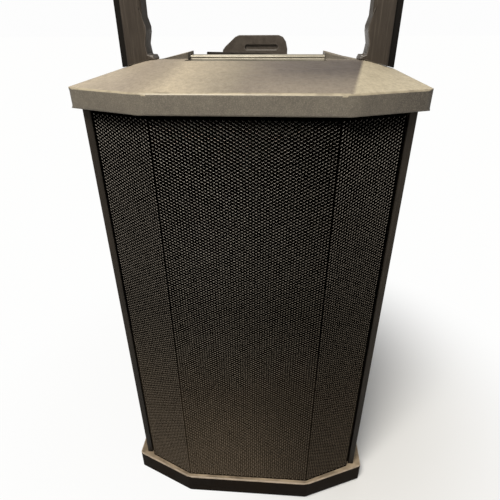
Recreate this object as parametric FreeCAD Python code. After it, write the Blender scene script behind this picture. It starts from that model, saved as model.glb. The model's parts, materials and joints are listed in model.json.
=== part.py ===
import FreeCAD, Part
import math
import os

V = FreeCAD.Vector

# Bass cabinet of a portable line array system, with its plug-in array stand.
# Millimetres, +Z up, front towards -Y, origin on the floor under the middle of the footprint.

# Driving dimensions
WIDTH = 410.0
DEPTH = 446.0
FRONT_EDGE_Z = 688.0
RIDGE_Z = 703.0
STAND_SEAT_Z = 1170.0
SPIGOT_LENGTH = 60.0
SPIGOT_R = 17.3

# Plan of the cap and base
X_OUT = WIDTH / 2
Y_FRONT = -DEPTH / 2
Y_BACK = DEPTH / 2
CAP_FACET_HALF = 112.0
BASE_FACET_HALF = 104.0
FACET_DEPTH = 42.0
Y_CORNER = Y_FRONT + FACET_DEPTH
REAR_CHAMFER_X = 30.0
REAR_CHAMFER_Y = 48.0
CAP_UNDER_Z = 665.0
BASE_BOTTOM_Z = 3.0
BASE_TOP_Z = 41.0

# Top of the cap
RIDGE_X = 158.0
RIDGE_START_Y = 2.0
SIDE_EDGE_Z = 691.0
SIDE_FALL = (RIDGE_Z - SIDE_EDGE_Z) / (X_OUT - RIDGE_X)
REAR_FALL = 8.0 / (Y_BACK - RIDGE_START_Y)
TWIST_Y = -90.0
CAP_WALL = 4.0

# Cabinet body
BODY_X = 191.0
BODY_FRONT_Y = Y_CORNER + 2.0
BODY_BACK_Y = 190.0
WALL = 9.0
DECK = 8.0
BODY_REAR_CHAMFER = 22.0

# Grille
GRILLE_X = 178.0
GRILLE_FOLD_X = 103.5
GRILLE_FACE_Y = -217.0
GRILLE_EDGE_Y = -184.0
GRILLE_SHEET = 1.2
GRILLE_RETURN = 8.0
GRILLE_BOTTOM_Z = BASE_TOP_Z + 0.5
GRILLE_TOP_Z = CAP_UNDER_Z - 0.5
CLOTH_GAP = 0.4
CLOTH = 0.8

# Baffle, woofers and ports
BAFFLE_FRONT_Y = -165.0
BAFFLE = 18.0
WOOFER_Z = {"upper": 510.0, "lower": 196.0}
FLANGE_R = 127.0
BAFFLE_HOLE_R = 117.0
CONE_R = 100.0
MAGNET_R = 72.0
WOOFER_SCREW_R = 121.5
PORT_X = 128.0
PORT_Z = (WOOFER_Z["upper"] + WOOFER_Z["lower"]) / 2
PORT_R = 38.0
PORT_LENGTH = 140.0

# Handles
HAND_POCKET = (-104.0, 104.0, -6.0, 137.0)
POCKET_FLOOR_Z = 645.0
POCKET_RIM_Z = 691.5
SHELF_BACK_Y = 186.0
SHELF_Z = 680.0
CHEEK_END_X = 142.0
BAR_HALF = 107.0
BAR_Y = (39.0, 64.0)
BAR_Z = (697.5, 707.0)
CUP_Y = 40.0
CUP_Z = 500.0
CUP_SIZE = (150.0, 90.0)
CUP_DEPTH = 50.0

# Stand
LEG_INNER_X = 162.0
LEG_OUTER_X = 193.0
LEG_DEPTH = 32.0
STRIP_X = 203.0
TONGUE = (152.0, 178.0, 2.0, 30.0)
TONGUE_BOTTOM_Z = 612.0
SOCKET_PLAY = 0.5
SOCKET_WALL = 3.0
SEAT_GAP = 0.4
CROSSBAR_HEIGHT = 46.0

# Rear module
PANEL_X = 130.0
PANEL_Z = (225.0, 615.0)
PANEL = 3.0
PANEL_Y = BODY_BACK_Y
PANEL_FACE_Y = PANEL_Y + PANEL
FIN_TIP_Y = 214.0
INPUT_X = (25.0, 78.0)
INPUT_Z = 565.0
OUTPUT_Z = 505.0
SOCKET_R = 11.5
KNOB_X = -45.0
KNOB_Z = 555.0
KNOB_R = 15.0
SHAFT_R = 3.0
BUTTON_X = -95.0
BUTTON_Z = {"polarity_button": 570.0, "filter_button": 540.0}
INLET_X = 68.0
ROCKER_X = 8.0
MAINS_Z = 445.0

# Stand catch
CATCH_Y = (198.0, 203.0)
CATCH_PIVOT_Z = 682.0
SLOT_DEPTH = 3.6
PIN_R = 2.5


def save(name, shape):
    shape.exportStep("parts/" + name + ".step")


def box(x0, x1, y0, y1, z0, z1):
    return Part.makeBox(x1 - x0, y1 - y0, z1 - z0, V(x0, y0, z0))


def mirrored(shape):
    return shape.mirror(V(0, 0, 0), V(1, 0, 0))


def join(shapes):
    return shapes[0].multiFuse(shapes[1:]).removeSplitter()


def group(shapes):
    return Part.makeCompound(shapes)


def rounded(shape, radius, wanted):
    """Fillet the edges whose centre satisfies wanted."""
    edges = [e for e in shape.Edges if wanted(e)]
    return shape.makeFillet(radius, edges)


def prism(points, z0, z1):
    """Extrude a plan outline, points as (x, y), from z0 to z1."""
    wire = Part.makePolygon([V(x, y, z0) for x, y in points + points[:1]])
    return Part.Face(wire).extrude(V(0, 0, z1 - z0))


def slab(points, y0, y1):
    """Extrude a front outline, points as (x, z), from y0 to y1."""
    wire = Part.makePolygon([V(x, y0, z) for x, z in points + points[:1]])
    return Part.Face(wire).extrude(V(0, y1 - y0, 0))


def polyhedron(corners, faces):
    """Solid from named corner points and faces listed by corner name."""
    built = []
    for names in faces:
        loop = [V(*corners[n]) for n in names]
        built.append(Part.Face(Part.makePolygon(loop + loop[:1])))
    return Part.Solid(Part.Shell(built))


def tube_y(x, z, r_in, r_out, y0, y1):
    """Ring or, with r_in 0, a disc, with its axis along Y."""
    shape = Part.makeCylinder(r_out, y1 - y0, V(x, y0, z), V(0, 1, 0))
    if r_in:
        shape = shape.cut(Part.makeCylinder(r_in, y1 - y0, V(x, y0, z), V(0, 1, 0)))
    return shape


def turned_y(z, profile):
    """Revolve a closed profile of (radius, y) about the line x = 0 at height z, along Y."""
    loop = [V(r, y, z) for r, y in profile]
    face = Part.Face(Part.makePolygon(loop + loop[:1]))
    return face.revolve(V(0, 0, z), V(0, 1, 0), 360)


def outline(facet_half, x_out, front, corner, back, chamfer_x, chamfer_y):
    """Half plan on +X, then its mirror image: front facet, corner facet, side, rear chamfer."""
    right = [
        (facet_half, front),
        (x_out, corner),
        (x_out, back - chamfer_y),
        (x_out - chamfer_x, back),
    ]
    return right + [(-x, y) for x, y in reversed(right)]


def cap_surface_z(x, y=RIDGE_START_Y):
    """Height of the cap's top behind the ridge's start: it falls rearwards and towards its sides."""
    return RIDGE_Z - (y - RIDGE_START_Y) * REAR_FALL - max(0.0, abs(x) - RIDGE_X) * SIDE_FALL


def box_plan(inset, front):
    """The body's plan with square front corners."""
    x, back, c = BODY_X - inset, BODY_BACK_Y - inset, BODY_REAR_CHAMFER
    right = [(x, front), (x, back - c), (x - c, back)]
    return right + [(-px, py) for px, py in reversed(right)]


def leg_socket_hole(grow, z0, z1):
    x0, x1, y0, y1 = TONGUE
    return box(x0 - grow, x1 + grow, y0 - grow, y1 + grow, z0, z1)


def cabinet_shell():
    outer = prism(box_plan(0, BODY_FRONT_Y), BASE_TOP_Z, CAP_UNDER_Z)
    cavity = prism(box_plan(WALL, BODY_FRONT_Y - 10), BASE_TOP_Z + DECK, CAP_UNDER_Z - DECK)
    shell = outer.cut(cavity)
    inner_x, deck_front = BODY_X - WALL, GRILLE_EDGE_Y + GRILLE_RETURN + 1.5
    shell = shell.cut(
        box(-inner_x, inner_x, BODY_FRONT_Y - 1, deck_front, BASE_TOP_Z - 1, CAP_UNDER_Z + 1)
    )
    x0, x1, y0, y1 = HAND_POCKET
    deck_z = (CAP_UNDER_Z - DECK - 1, CAP_UNDER_Z + 1)
    shell = shell.cut(box(x0 - 4.5, x1 + 4.5, y0 - 4.5, y1 + 4.5, *deck_z))
    grow = SOCKET_PLAY + SOCKET_WALL + 0.3
    socket = leg_socket_hole(grow, *deck_z)
    shell = shell.cut(socket).cut(mirrored(socket))
    opening = (PANEL_X - 14, PANEL_Z[0] + 14, PANEL_Z[1] - 14)
    shell = shell.cut(
        box(-opening[0], opening[0], BODY_BACK_Y - WALL - 1, BODY_BACK_Y + 1, *opening[1:])
    )
    for x, z in panel_screw_places():
        shell = shell.cut(tube_y(x, z, 0, 2.1, BODY_BACK_Y - WALL - 1, BODY_BACK_Y + 1))
    cup = side_cup_block(0.3, 12.0)
    return shell.cut(cup).cut(mirrored(cup))


def side_cup_block(grow, depth):
    half_y, half_z = CUP_SIZE[0] / 2 + grow, CUP_SIZE[1] / 2 + grow
    block = box(
        BODY_X - depth, BODY_X + 1, CUP_Y - half_y, CUP_Y + half_y, CUP_Z - half_z, CUP_Z + half_z
    )
    return rounded(block, 22.0, lambda e: abs(e.Length - depth - 1) < 0.01)


def side_cup():
    """Moulded grip cup let into a side wall, with a flange outside it."""
    outer = side_cup_block(0.0, CUP_DEPTH)
    flange = box(
        BODY_X, BODY_X + 3,
        CUP_Y - CUP_SIZE[0] / 2 - 12, CUP_Y + CUP_SIZE[0] / 2 + 12,
        CUP_Z - CUP_SIZE[1] / 2 - 12, CUP_Z + CUP_SIZE[1] / 2 + 12,
    )
    flange = rounded(flange, 26.0, lambda e: abs(e.Length - 3) < 0.01)
    hollow = box(
        BODY_X - CUP_DEPTH + 3, BODY_X + 4,
        CUP_Y - CUP_SIZE[0] / 2 + 3, CUP_Y + CUP_SIZE[0] / 2 - 3,
        CUP_Z - CUP_SIZE[1] / 2 + 3, CUP_Z + CUP_SIZE[1] / 2 - 3,
    )
    hollow = rounded(hollow, 19.0, lambda e: abs(e.Length - CUP_DEPTH - 1) < 0.01)
    return join([outer, flange]).cut(hollow)


def window_brace():
    inset = WALL + 0.4
    z0 = PORT_Z - 6
    plate = prism(box_plan(inset, BAFFLE_FRONT_Y + BAFFLE + 0.4), z0, z0 + 12)
    plate = plate.cut(box(-80, 80, -120, 60, z0 - 1, z0 + 13))
    plate = plate.cut(box(-PANEL_X, PANEL_X, 75, BODY_BACK_Y, z0 - 1, z0 + 13))
    for side in (-1, 1):
        plate = plate.cut(tube_y(side * PORT_X, PORT_Z, 0, PORT_R + 8, -180, 20))
    return plate


def front_baffle():
    side = BODY_X - WALL - 0.3
    z0, z1 = BASE_TOP_Z + DECK + 0.3, CAP_UNDER_Z - DECK - 0.3
    y1 = BAFFLE_FRONT_Y + BAFFLE
    board = box(-side, side, BAFFLE_FRONT_Y, y1, z0, z1)
    for z in WOOFER_Z.values():
        board = board.cut(tube_y(0, z, 0, BAFFLE_HOLE_R, BAFFLE_FRONT_Y - 1, y1 + 1))
    for x in (-PORT_X, PORT_X):
        board = board.cut(tube_y(x, PORT_Z, 0, PORT_R + 3.2, BAFFLE_FRONT_Y - 1, y1 + 1))
    return board


def port(side):
    x, y = side * PORT_X, BAFFLE_FRONT_Y
    flange = tube_y(x, PORT_Z, 0, PORT_R + 13, y - 3, y)
    sleeve = tube_y(x, PORT_Z, 0, PORT_R + 3, y - 3, y + PORT_LENGTH)
    bore = tube_y(x, PORT_Z, 0, PORT_R, y - 4, y + PORT_LENGTH + 1)
    mouth = Part.makeCone(PORT_R + 2.5, PORT_R, 12, V(x, y - 3, PORT_Z), V(0, 1, 0))
    return join([flange, sleeve]).cut(bore).cut(mouth)


def between(one, two, y):
    """Point at depth y on the straight line through two points."""
    t = (y - one[1]) / (two[1] - one[1])
    return tuple(p + t * (q - p) for p, q in zip(one, two))


def cap_body(inset):
    """Outer form of the cap, or with an inset the hollow inside it. Its side facets twist rearwards."""
    wall, skin = inset, inset
    x_out, ridge = X_OUT - wall, RIDGE_X
    front, corner, back = Y_FRONT + wall, Y_CORNER + wall * 0.6, Y_BACK - wall
    under = CAP_UNDER_Z - (1.0 if inset else 0.0)
    rear_x = X_OUT - REAR_CHAMFER_X - wall * 0.6
    rear_y = Y_BACK - REAR_CHAMFER_Y
    plan = {
        "a": (CAP_FACET_HALF - wall * 0.2, front, FRONT_EDGE_Z),
        "b": (ridge, RIDGE_START_Y, RIDGE_Z),
        "c": (x_out, corner, FRONT_EDGE_Z),
        "d": (x_out, RIDGE_START_Y, cap_surface_z(x_out, RIDGE_START_Y)),
        "e": (x_out, rear_y, cap_surface_z(x_out, rear_y)),
        "f": (rear_x, back, cap_surface_z(rear_x, back)),
        "g": (ridge, back, cap_surface_z(ridge, back)),
    }
    plan["m"] = between(plan["a"], plan["b"], corner)
    plan["k"] = between(plan["a"], plan["b"], TWIST_Y)
    plan["n"] = between(plan["c"], plan["d"], TWIST_Y)
    corners = {}
    for side, mark in ((1, "R"), (-1, "L")):
        for name, (x, y, z) in plan.items():
            corners[name + mark] = (side * x, y, z - skin)
            corners[name.upper() + mark] = (side * x, y, under)
    faces = [
        ["aL", "aR", "mR", "kR", "bR", "bL", "kL", "mL"],
        ["bL", "bR", "gR", "gL"],
        ["AL", "CL", "NL", "DL", "EL", "FL", "GL", "GR", "FR", "ER", "DR", "NR", "CR", "AR"],
        ["aL", "AL", "AR", "aR"],
        ["gL", "gR", "GR", "GL"],
    ]
    for m in ("R", "L"):
        for names in ("acm", "mcn", "mnk", "knd", "kdb", "bdefg"):
            faces.append([name + m for name in names])
        for one, two in ("ac", "cn", "nd", "de", "ef", "fg"):
            faces.append([one + m, one.upper() + m, two.upper() + m, two + m])
    return polyhedron(corners, faces)


def cheek():
    """Raised wedge beside the carrying bar, on +X; it holds the bar's end."""
    bottom, inner = RIDGE_Z - 5, HAND_POCKET[1] - 4
    low, high = RIDGE_Z + 0.5, RIDGE_Z + 10
    corners = {
        "p": (inner, 27, bottom), "q": (CHEEK_END_X, 10, bottom),
        "r": (CHEEK_END_X, 44, bottom), "s": (inner, 74, bottom),
        "P": (inner, 27, high), "Q": (CHEEK_END_X, 10, low),
        "R": (CHEEK_END_X, 44, low), "S": (inner, 74, high),
    }
    faces = [
        ["p", "q", "r", "s"], ["P", "S", "R", "Q"], ["p", "P", "Q", "q"],
        ["q", "Q", "R"], ["q", "R", "r"], ["r", "R", "S"], ["r", "S", "s"], ["s", "S", "P", "p"],
    ]
    return polyhedron(corners, faces).common(box(0, X_OUT, -X_OUT, X_OUT, bottom, high + 1))


def top_cap():
    cap = cap_body(0.0)
    x0, x1, y0, y1 = HAND_POCKET
    rim = box(x0 - 9, x1 + 9, y0 - 9, SHELF_BACK_Y + 9, CAP_UNDER_Z, RIDGE_Z)
    grow = SOCKET_PLAY + SOCKET_WALL + 1
    bosses = [rim]
    for block in (leg_socket_hole(grow, CAP_UNDER_Z, RIDGE_Z),
                  box(-84, 84, CATCH_Y[0] - 8, Y_BACK, CAP_UNDER_Z, RIDGE_Z)):
        bosses += [block, mirrored(block)] if block.BoundBox.XMin > 0 else [block]
    hollow = cap_body(CAP_WALL)
    for boss in bosses:
        hollow = hollow.cut(boss)
    cap = cap.cut(hollow)
    cap = join([cap, cheek(), mirrored(cheek())])
    pocket = box(x0 - 4, x1 + 4, y0 - 4, SHELF_BACK_Y + 4, CAP_UNDER_Z - 2, POCKET_RIM_Z + 0.5)
    mouth = box(x0, x1, y0, SHELF_BACK_Y, CAP_UNDER_Z - 2, RIDGE_Z + 20)
    cap = cap.cut(pocket).cut(mouth)
    bar = box(-BAR_HALF - 0.2, BAR_HALF + 0.2, BAR_Y[0] - 0.2, BAR_Y[1] + 0.2,
              BAR_Z[0] - 0.2, BAR_Z[1] + 0.2)
    cap = cap.cut(bar)
    slot = leg_socket_hole(SOCKET_PLAY, CAP_UNDER_Z - 1, RIDGE_Z + 5)
    socket = leg_socket_hole(SOCKET_PLAY + SOCKET_WALL + 0.2, CAP_UNDER_Z - 1, 689.0)
    for cutter in (slot, socket):
        cap = cap.cut(cutter).cut(mirrored(cutter))
    return cap.cut(catch_bay())


def catch_bay():
    """Slot in the cap's rear edge that the catch swings in."""
    x0, x1 = -76.0, 52.0
    bay = box(x0, x1, CATCH_Y[0] - 4, Y_BACK + 1, CAP_UNDER_Z - 1, RIDGE_Z + 10)
    pin_start = V(x0 - 8, catch_axis_y(), CATCH_PIVOT_Z)
    pin = Part.makeCylinder(PIN_R, x1 - x0 + 16, pin_start, V(1, 0, 0))
    return bay.fuse(pin)


def catch_axis_y():
    return (CATCH_Y[0] + CATCH_Y[1]) / 2


def stand_catch():
    """Spring catch at the back of the cap, with a finger slot."""
    outline_points = [
        (-73, CATCH_PIVOT_Z - 8), (-73, 706), (-68, 712), (-49, 728), (-42, 731), (32, 731),
        (40, 728), (46, 720), (49, 708), (49, CATCH_PIVOT_Z - 8),
    ]
    plate = slab(outline_points, *CATCH_Y)
    slot = box(-31, 31, CATCH_Y[0] - 1, CATCH_Y[0] + SLOT_DEPTH, 706, 715)
    slot = rounded(slot, 4.4, lambda e: abs(e.Length - (SLOT_DEPTH + 1)) < 0.01)
    plate = plate.cut(slot)
    eye = Part.makeCylinder(5.5, 122, V(-73, catch_axis_y(), CATCH_PIVOT_Z), V(1, 0, 0))
    bore = Part.makeCylinder(PIN_R + 0.06, 124, V(-74, catch_axis_y(), CATCH_PIVOT_Z), V(1, 0, 0))
    return join([plate, eye]).cut(bore)


def catch_pin():
    return Part.makeCylinder(PIN_R, 142, V(-83, catch_axis_y(), CATCH_PIVOT_Z), V(1, 0, 0))


def hand_pocket():
    """Cup under the carrying bar, let down through the deck, with a shallow shelf and a lip behind it."""
    x0, x1, y0, y1 = HAND_POCKET
    outer = box(x0 - 3.5, x1 + 3.5, y0 - 3.5, y1 + 3.5, POCKET_FLOOR_Z - 3, POCKET_RIM_Z)
    shelf = box(x0 - 3.5, x1 + 3.5, y1, SHELF_BACK_Y + 3.5, SHELF_Z - 3, POCKET_RIM_Z)
    cup = join([outer, shelf]).cut(box(x0, x1, y0, y1, POCKET_FLOOR_Z, RIDGE_Z))
    cup = cup.cut(box(x0, x1, y1 - 1, SHELF_BACK_Y, SHELF_Z, RIDGE_Z))
    lip_points = [(-101, SHELF_Z - 1), (69, SHELF_Z - 1), (69, 698.5), (0, 702.5), (-101, 704)]
    return join([cup, slab(lip_points, SHELF_BACK_Y - 4.5, SHELF_BACK_Y - 0.3)])


def handle_bar():
    """Carrying bar, with one groove along its front face and two along its top."""
    bar = box(-BAR_HALF, BAR_HALF, *BAR_Y, *BAR_Z)
    bar = rounded(bar, 2.5, lambda e: abs(e.Length - 2 * BAR_HALF) < 0.01)
    middle = (BAR_Y[0] + BAR_Y[1]) / 2
    for y in (middle - 3.5, middle + 2.5):
        bar = bar.cut(box(-BAR_HALF - 1, BAR_HALF + 1, y, y + 1, BAR_Z[1] - 1, BAR_Z[1] + 1))
    groove = box(-BAR_HALF - 1, BAR_HALF + 1, BAR_Y[0] - 1, BAR_Y[0] + 1.2, BAR_Z[1] - 4.6, BAR_Z[1] - 3.1)
    return bar.cut(groove)


def leg_socket():
    """Closed well that takes a leg's tongue, on +X."""
    floor = TONGUE_BOTTOM_Z - 0.3
    outer = leg_socket_hole(SOCKET_PLAY + SOCKET_WALL, floor - 4, 688.8)
    return outer.cut(leg_socket_hole(SOCKET_PLAY, floor, 690))


def base_cap():
    plan = outline(BASE_FACET_HALF, X_OUT, Y_FRONT, Y_CORNER, Y_BACK, REAR_CHAMFER_X, REAR_CHAMFER_Y)
    tray = prism(plan, BASE_BOTTOM_Z, BASE_TOP_Z)
    inner = outline(
        BASE_FACET_HALF - 1, X_OUT - 5, Y_FRONT + 5, Y_CORNER + 4, Y_BACK - 5,
        REAR_CHAMFER_X, REAR_CHAMFER_Y,
    )
    tray = tray.cut(prism(inner, BASE_BOTTOM_Z + 5, BASE_TOP_Z - 5))
    for x, y in foot_places():
        tray = tray.cut(Part.makeCylinder(19.2, 4, V(x, y, BASE_BOTTOM_Z - 1)))
    return tray


def foot_places():
    return [(sx * 150.0, y) for sx in (-1, 1) for y in (-150.0, 165.0)]


def rubber_feet():
    feet = []
    for x, y in foot_places():
        foot = Part.makeCylinder(19.0, 6.0, V(x, y, 0))
        feet.append(foot.makeChamfer(1.5, [foot.Edges[0], foot.Edges[2]]))
    return group(feet)


def bent_sheet(offset, thickness, z0, z1):
    """Three flat facets like the grille's, offset inwards from its face."""
    face_y, edge_y = GRILLE_FACE_Y + offset, GRILLE_EDGE_Y + offset
    edge_x = GRILLE_X - (GRILLE_SHEET + CLOTH_GAP if offset else 0.0)
    front = [(-edge_x, edge_y), (-GRILLE_FOLD_X, face_y), (GRILLE_FOLD_X, face_y), (edge_x, edge_y)]
    back = [(x, y + thickness * 1.08) for x, y in reversed(front)]
    return prism(front + back, z0, z1)


def front_grille():
    sheet = bent_sheet(0.0, GRILLE_SHEET, GRILLE_BOTTOM_Z, GRILLE_TOP_Z)
    wings = []
    for x in (-GRILLE_X, GRILLE_X - GRILLE_SHEET):
        wings.append(
            box(x, x + GRILLE_SHEET, GRILLE_EDGE_Y, GRILLE_EDGE_Y + GRILLE_RETURN,
                GRILLE_BOTTOM_Z, GRILLE_TOP_Z)
        )
    return join([sheet] + wings)


def grille_cloth():
    offset = GRILLE_SHEET * 1.08 + CLOTH_GAP
    return bent_sheet(offset, CLOTH, GRILLE_BOTTOM_Z + 3, GRILLE_TOP_Z - 3)


def basket(z):
    """Cast frame: front flange, six windows in its cone, and a ring for the motor."""
    front = BAFFLE_FRONT_Y
    profile = [
        (112.5, front - 6), (FLANGE_R, front - 6), (FLANGE_R, front), (116, front),
        (116, front + 6), (72, front + 80), (72, front + 85), (30, front + 85),
        (30, front + 80), (67, front + 80), (108, front + 8), (112.5, front - 2),
    ]
    frame = turned_y(z, profile)
    for i in range(6):
        window = box(-17, 17, front + 14, front + 70, z + 40, z + 140)
        window.rotate(V(0, 0, z), V(0, 1, 0), 60 * i)
        frame = frame.cut(window)
    for place in woofer_screw_places(z):
        frame = frame.cut(tube_y(*place, 0, 2.8, front - 8, front + 1))
    return frame


def woofer_screw_places(z):
    places = []
    for i in range(8):
        angle = math.radians(22.5 + 45 * i)
        places.append((WOOFER_SCREW_R * math.cos(angle), z + WOOFER_SCREW_R * math.sin(angle)))
    return places


def woofer_screws():
    screws = []
    front = BAFFLE_FRONT_Y
    for z in WOOFER_Z.values():
        for place in woofer_screw_places(z):
            head = tube_y(*place, 0, 4.4, front - 9, front - 6)
            screws.append(join([head, tube_y(*place, 0, 2.5, front - 6, front)]))
    return group(screws)


def half_roll(r_in, r_out, y, bulge, steps, thick):
    """Profile of a half roll between two radii, bulging by bulge towards -Y."""
    outer, inner = [], []
    for i in range(steps + 1):
        angle = math.pi * i / steps
        r = (r_in + r_out) / 2 - math.cos(angle) * (r_out - r_in) / 2
        outer.append((r, y - bulge * math.sin(angle)))
        inner.append((r, y - (bulge - thick) * math.sin(angle) + thick))
    return outer + inner[::-1]


def surround(z):
    y = BAFFLE_FRONT_Y - 7.0
    roll = turned_y(z, half_roll(CONE_R + 1.2, 112.0, y, 7.0, 8, 0.8))
    lip = tube_y(0, z, 111.6, 116.6, y, y + 0.8)
    return join([roll, lip])


def cone(z):
    y = BAFFLE_FRONT_Y - 6.5
    profile = [
        (CONE_R + 1, y), (CONE_R + 1, y + 1.2), (CONE_R - 4, y + 1.2), (27.2, y + 46.5),
        (25.7, y + 46.5), (25.7, y + 45), (CONE_R - 4.5, y),
    ]
    return turned_y(z, profile)


def dust_cap(z):
    """Domed cap over the middle of the cone."""
    radius, rise, y = 38.0, 13.0, BAFFLE_FRONT_Y + 30.2
    steps = 7
    outer, inner = [], []
    for i in range(steps + 1):
        t = i / steps
        outer.append((radius * t, y - rise * (1 - t * t)))
        inner.append(((radius - 1.2) * t, y - (rise - 1.2) * (1 - t * t)))
    return turned_y(z, outer + inner[::-1])


def voice_coil(z):
    y = BAFFLE_FRONT_Y
    former = tube_y(0, z, 25.0, 25.6, y + 41, y + 99)
    winding = tube_y(0, z, 25.0, 26.6, y + 79, y + 99)
    return join([former, winding])


def spider(z):
    """Corrugated ring that centres the coil."""
    y, waves = BAFFLE_FRONT_Y + 56, 5
    upper, lower = [], []
    for i in range(2 * waves + 1):
        r = 25.9 + i * (72.0 - 25.9) / (2 * waves)
        dy = 1.8 if i % 2 else -1.8
        upper.append((r, y + dy))
        lower.append((r, y + dy + 0.9))
    return turned_y(z, upper + lower[::-1])


def top_plate(z):
    return tube_y(0, z, 27.4, 66.0, BAFFLE_FRONT_Y + 85, BAFFLE_FRONT_Y + 93)


def magnet(z):
    return tube_y(0, z, 36.0, MAGNET_R, BAFFLE_FRONT_Y + 93, BAFFLE_FRONT_Y + 113)


def back_plate(z):
    y = BAFFLE_FRONT_Y
    plate = tube_y(0, z, 0, 66.0, y + 113, y + 121)
    pole = tube_y(0, z, 0, 24.3, y + 85, y + 113)
    vent = tube_y(0, z, 0, 9.0, y + 84, y + 122)
    return join([plate, pole]).cut(vent)


def cap_raised(gap):
    """Outer form of the cap a little higher, to cut the foot of what stands on it."""
    shape = cap_body(0.0)
    shape.translate(V(0, 0, gap))
    return shape


def leg():
    """Right-hand leg: shank above the cap and tongue in its socket."""
    x0, x1, y0, y1 = TONGUE
    foot = cap_surface_z(RIDGE_X) + SEAT_GAP
    shank = slab(
        [
            (LEG_INNER_X - 11, foot - 3), (RIDGE_X, foot - 3),
            (LEG_OUTER_X, cap_surface_z(LEG_OUTER_X) - 3),
            (LEG_OUTER_X, STAND_SEAT_Z), (LEG_INNER_X, STAND_SEAT_Z), (LEG_INNER_X, 758),
            (LEG_INNER_X - 3.6, 747), (LEG_INNER_X - 3.6, 740), (LEG_INNER_X, 724),
            (LEG_INNER_X - 2, 710), (LEG_INNER_X - 11, 706),
        ],
        0, LEG_DEPTH,
    )
    shank = rounded(shank, 3.0, lambda e: e.Length > 300).cut(cap_raised(SEAT_GAP))
    tongue = box(x0, x1, y0, y1, TONGUE_BOTTOM_Z, foot + 6)
    tip = box(x0 - 1, x1 + 1, y0 - 1, y1 + 1, TONGUE_BOTTOM_Z - 1, TONGUE_BOTTOM_Z + 5)
    lead_in = box(x0 + 1.5, x1 - 1.5, y0 + 1.5, y1 - 1.5, TONGUE_BOTTOM_Z, TONGUE_BOTTOM_Z + 5)
    body = join([shank, tongue.cut(tip), lead_in])
    for hole in bolt_holes(1, 0.4):
        body = body.cut(hole)
    return body


def leg_strip():
    """Rubber strip down the outer edge of the right-hand leg."""
    strip = slab(
        [
            (LEG_OUTER_X, cap_surface_z(LEG_OUTER_X) - 3), (STRIP_X, cap_surface_z(STRIP_X) - 3),
            (STRIP_X, STAND_SEAT_Z - 14), (STRIP_X - 6, STAND_SEAT_Z - 4), (LEG_OUTER_X, STAND_SEAT_Z - 4),
        ],
        5, LEG_DEPTH - 5,
    )
    strip = rounded(strip, 2.5, lambda e: e.Length > 300 and abs(e.CenterOfMass.x - STRIP_X) < 0.1)
    return strip.cut(cap_raised(SEAT_GAP + 0.4))


def crossbar():
    low = STAND_SEAT_Z - CROSSBAR_HEIGHT
    half = LEG_INNER_X
    bar = slab(
        [
            (-half, low - 30), (-half + 26, low), (half - 26, low), (half, low - 30),
            (half, STAND_SEAT_Z - 6), (60, STAND_SEAT_Z - 6), (52, STAND_SEAT_Z), (-52, STAND_SEAT_Z),
            (-60, STAND_SEAT_Z - 6), (-half, STAND_SEAT_Z - 6),
        ],
        2, LEG_DEPTH - 2,
    )
    bar = bar.cut(Part.makeCylinder(10.0, 40, V(0, LEG_DEPTH / 2, STAND_SEAT_Z - 30)))
    for hole in bolt_holes(1, 0.4) + bolt_holes(-1, 0.4):
        bar = bar.cut(hole)
    return bar


def spigot():
    """Pole that takes the array's pole cup."""
    centre = V(0, LEG_DEPTH / 2, STAND_SEAT_Z)
    pole = Part.makeCylinder(SPIGOT_R, SPIGOT_LENGTH, centre)
    top = [e for e in pole.Edges if e.CenterOfMass.z > STAND_SEAT_Z + SPIGOT_LENGTH - 0.1]
    pole = pole.makeChamfer(2.0, top)
    shank = Part.makeCylinder(9.9, 30, centre - V(0, 0, 30))
    return join([pole, shank])


def bolt_places():
    return [STAND_SEAT_Z - 18, STAND_SEAT_Z - 38]


def bolt_holes(side, grow):
    """Counterbored holes across a leg's top into the crossbar's end, or the bolts that fill them."""
    shapes = []
    for z in bolt_places():
        start = V(side * (LEG_OUTER_X - (0 if grow else 1)), LEG_DEPTH / 2, z)
        inwards = V(-side, 0, 0)
        head = Part.makeCylinder(6.5 + grow, 8 - (0 if grow else 1), start, inwards)
        shank = Part.makeCylinder(4.0 + grow / 4, 72 + grow * 5, start, inwards)
        shapes.append(join([head, shank]))
    return shapes


def stand_bolts():
    return group(bolt_holes(1, 0) + bolt_holes(-1, 0))


def d_plate(x, z):
    """Flange of a panel connector."""
    plate = box(x - 13, x + 13, PANEL_FACE_Y, PANEL_FACE_Y + 2, z - 15.5, z + 15.5)
    return rounded(plate, 3.0, lambda e: abs(e.Length - 2) < 0.01)


def line_inputs():
    """Combination sockets: round body with a cross bar of contacts at the bottom."""
    sockets = []
    for x in INPUT_X:
        body = tube_y(x, INPUT_Z, 0, SOCKET_R + 1.5, PANEL_FACE_Y - 30, PANEL_FACE_Y)
        body = join([d_plate(x, INPUT_Z), body])
        body = body.cut(tube_y(x, INPUT_Z, 0, SOCKET_R, PANEL_FACE_Y - 22, PANEL_FACE_Y + 3))
        core = tube_y(x, INPUT_Z, 3.3, 7.0, PANEL_FACE_Y - 23, PANEL_FACE_Y - 8)
        sockets.append(join([body, core]))
    return group(sockets)


def line_outputs():
    """Three-pin sockets."""
    sockets = []
    for x in INPUT_X:
        body = tube_y(x, OUTPUT_Z, 0, SOCKET_R + 1.5, PANEL_FACE_Y - 30, PANEL_FACE_Y)
        body = join([d_plate(x, OUTPUT_Z), body])
        body = body.cut(tube_y(x, OUTPUT_Z, 0, SOCKET_R - 1.0, PANEL_FACE_Y - 22, PANEL_FACE_Y + 3))
        for angle in (90, 210, 330):
            dx = 5.5 * math.cos(math.radians(angle))
            dz = 5.5 * math.sin(math.radians(angle))
            body = body.fuse(tube_y(x + dx, OUTPUT_Z + dz, 0, 1.2, PANEL_FACE_Y - 23, PANEL_FACE_Y - 8))
        sockets.append(body)
    return group(sockets)


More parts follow.
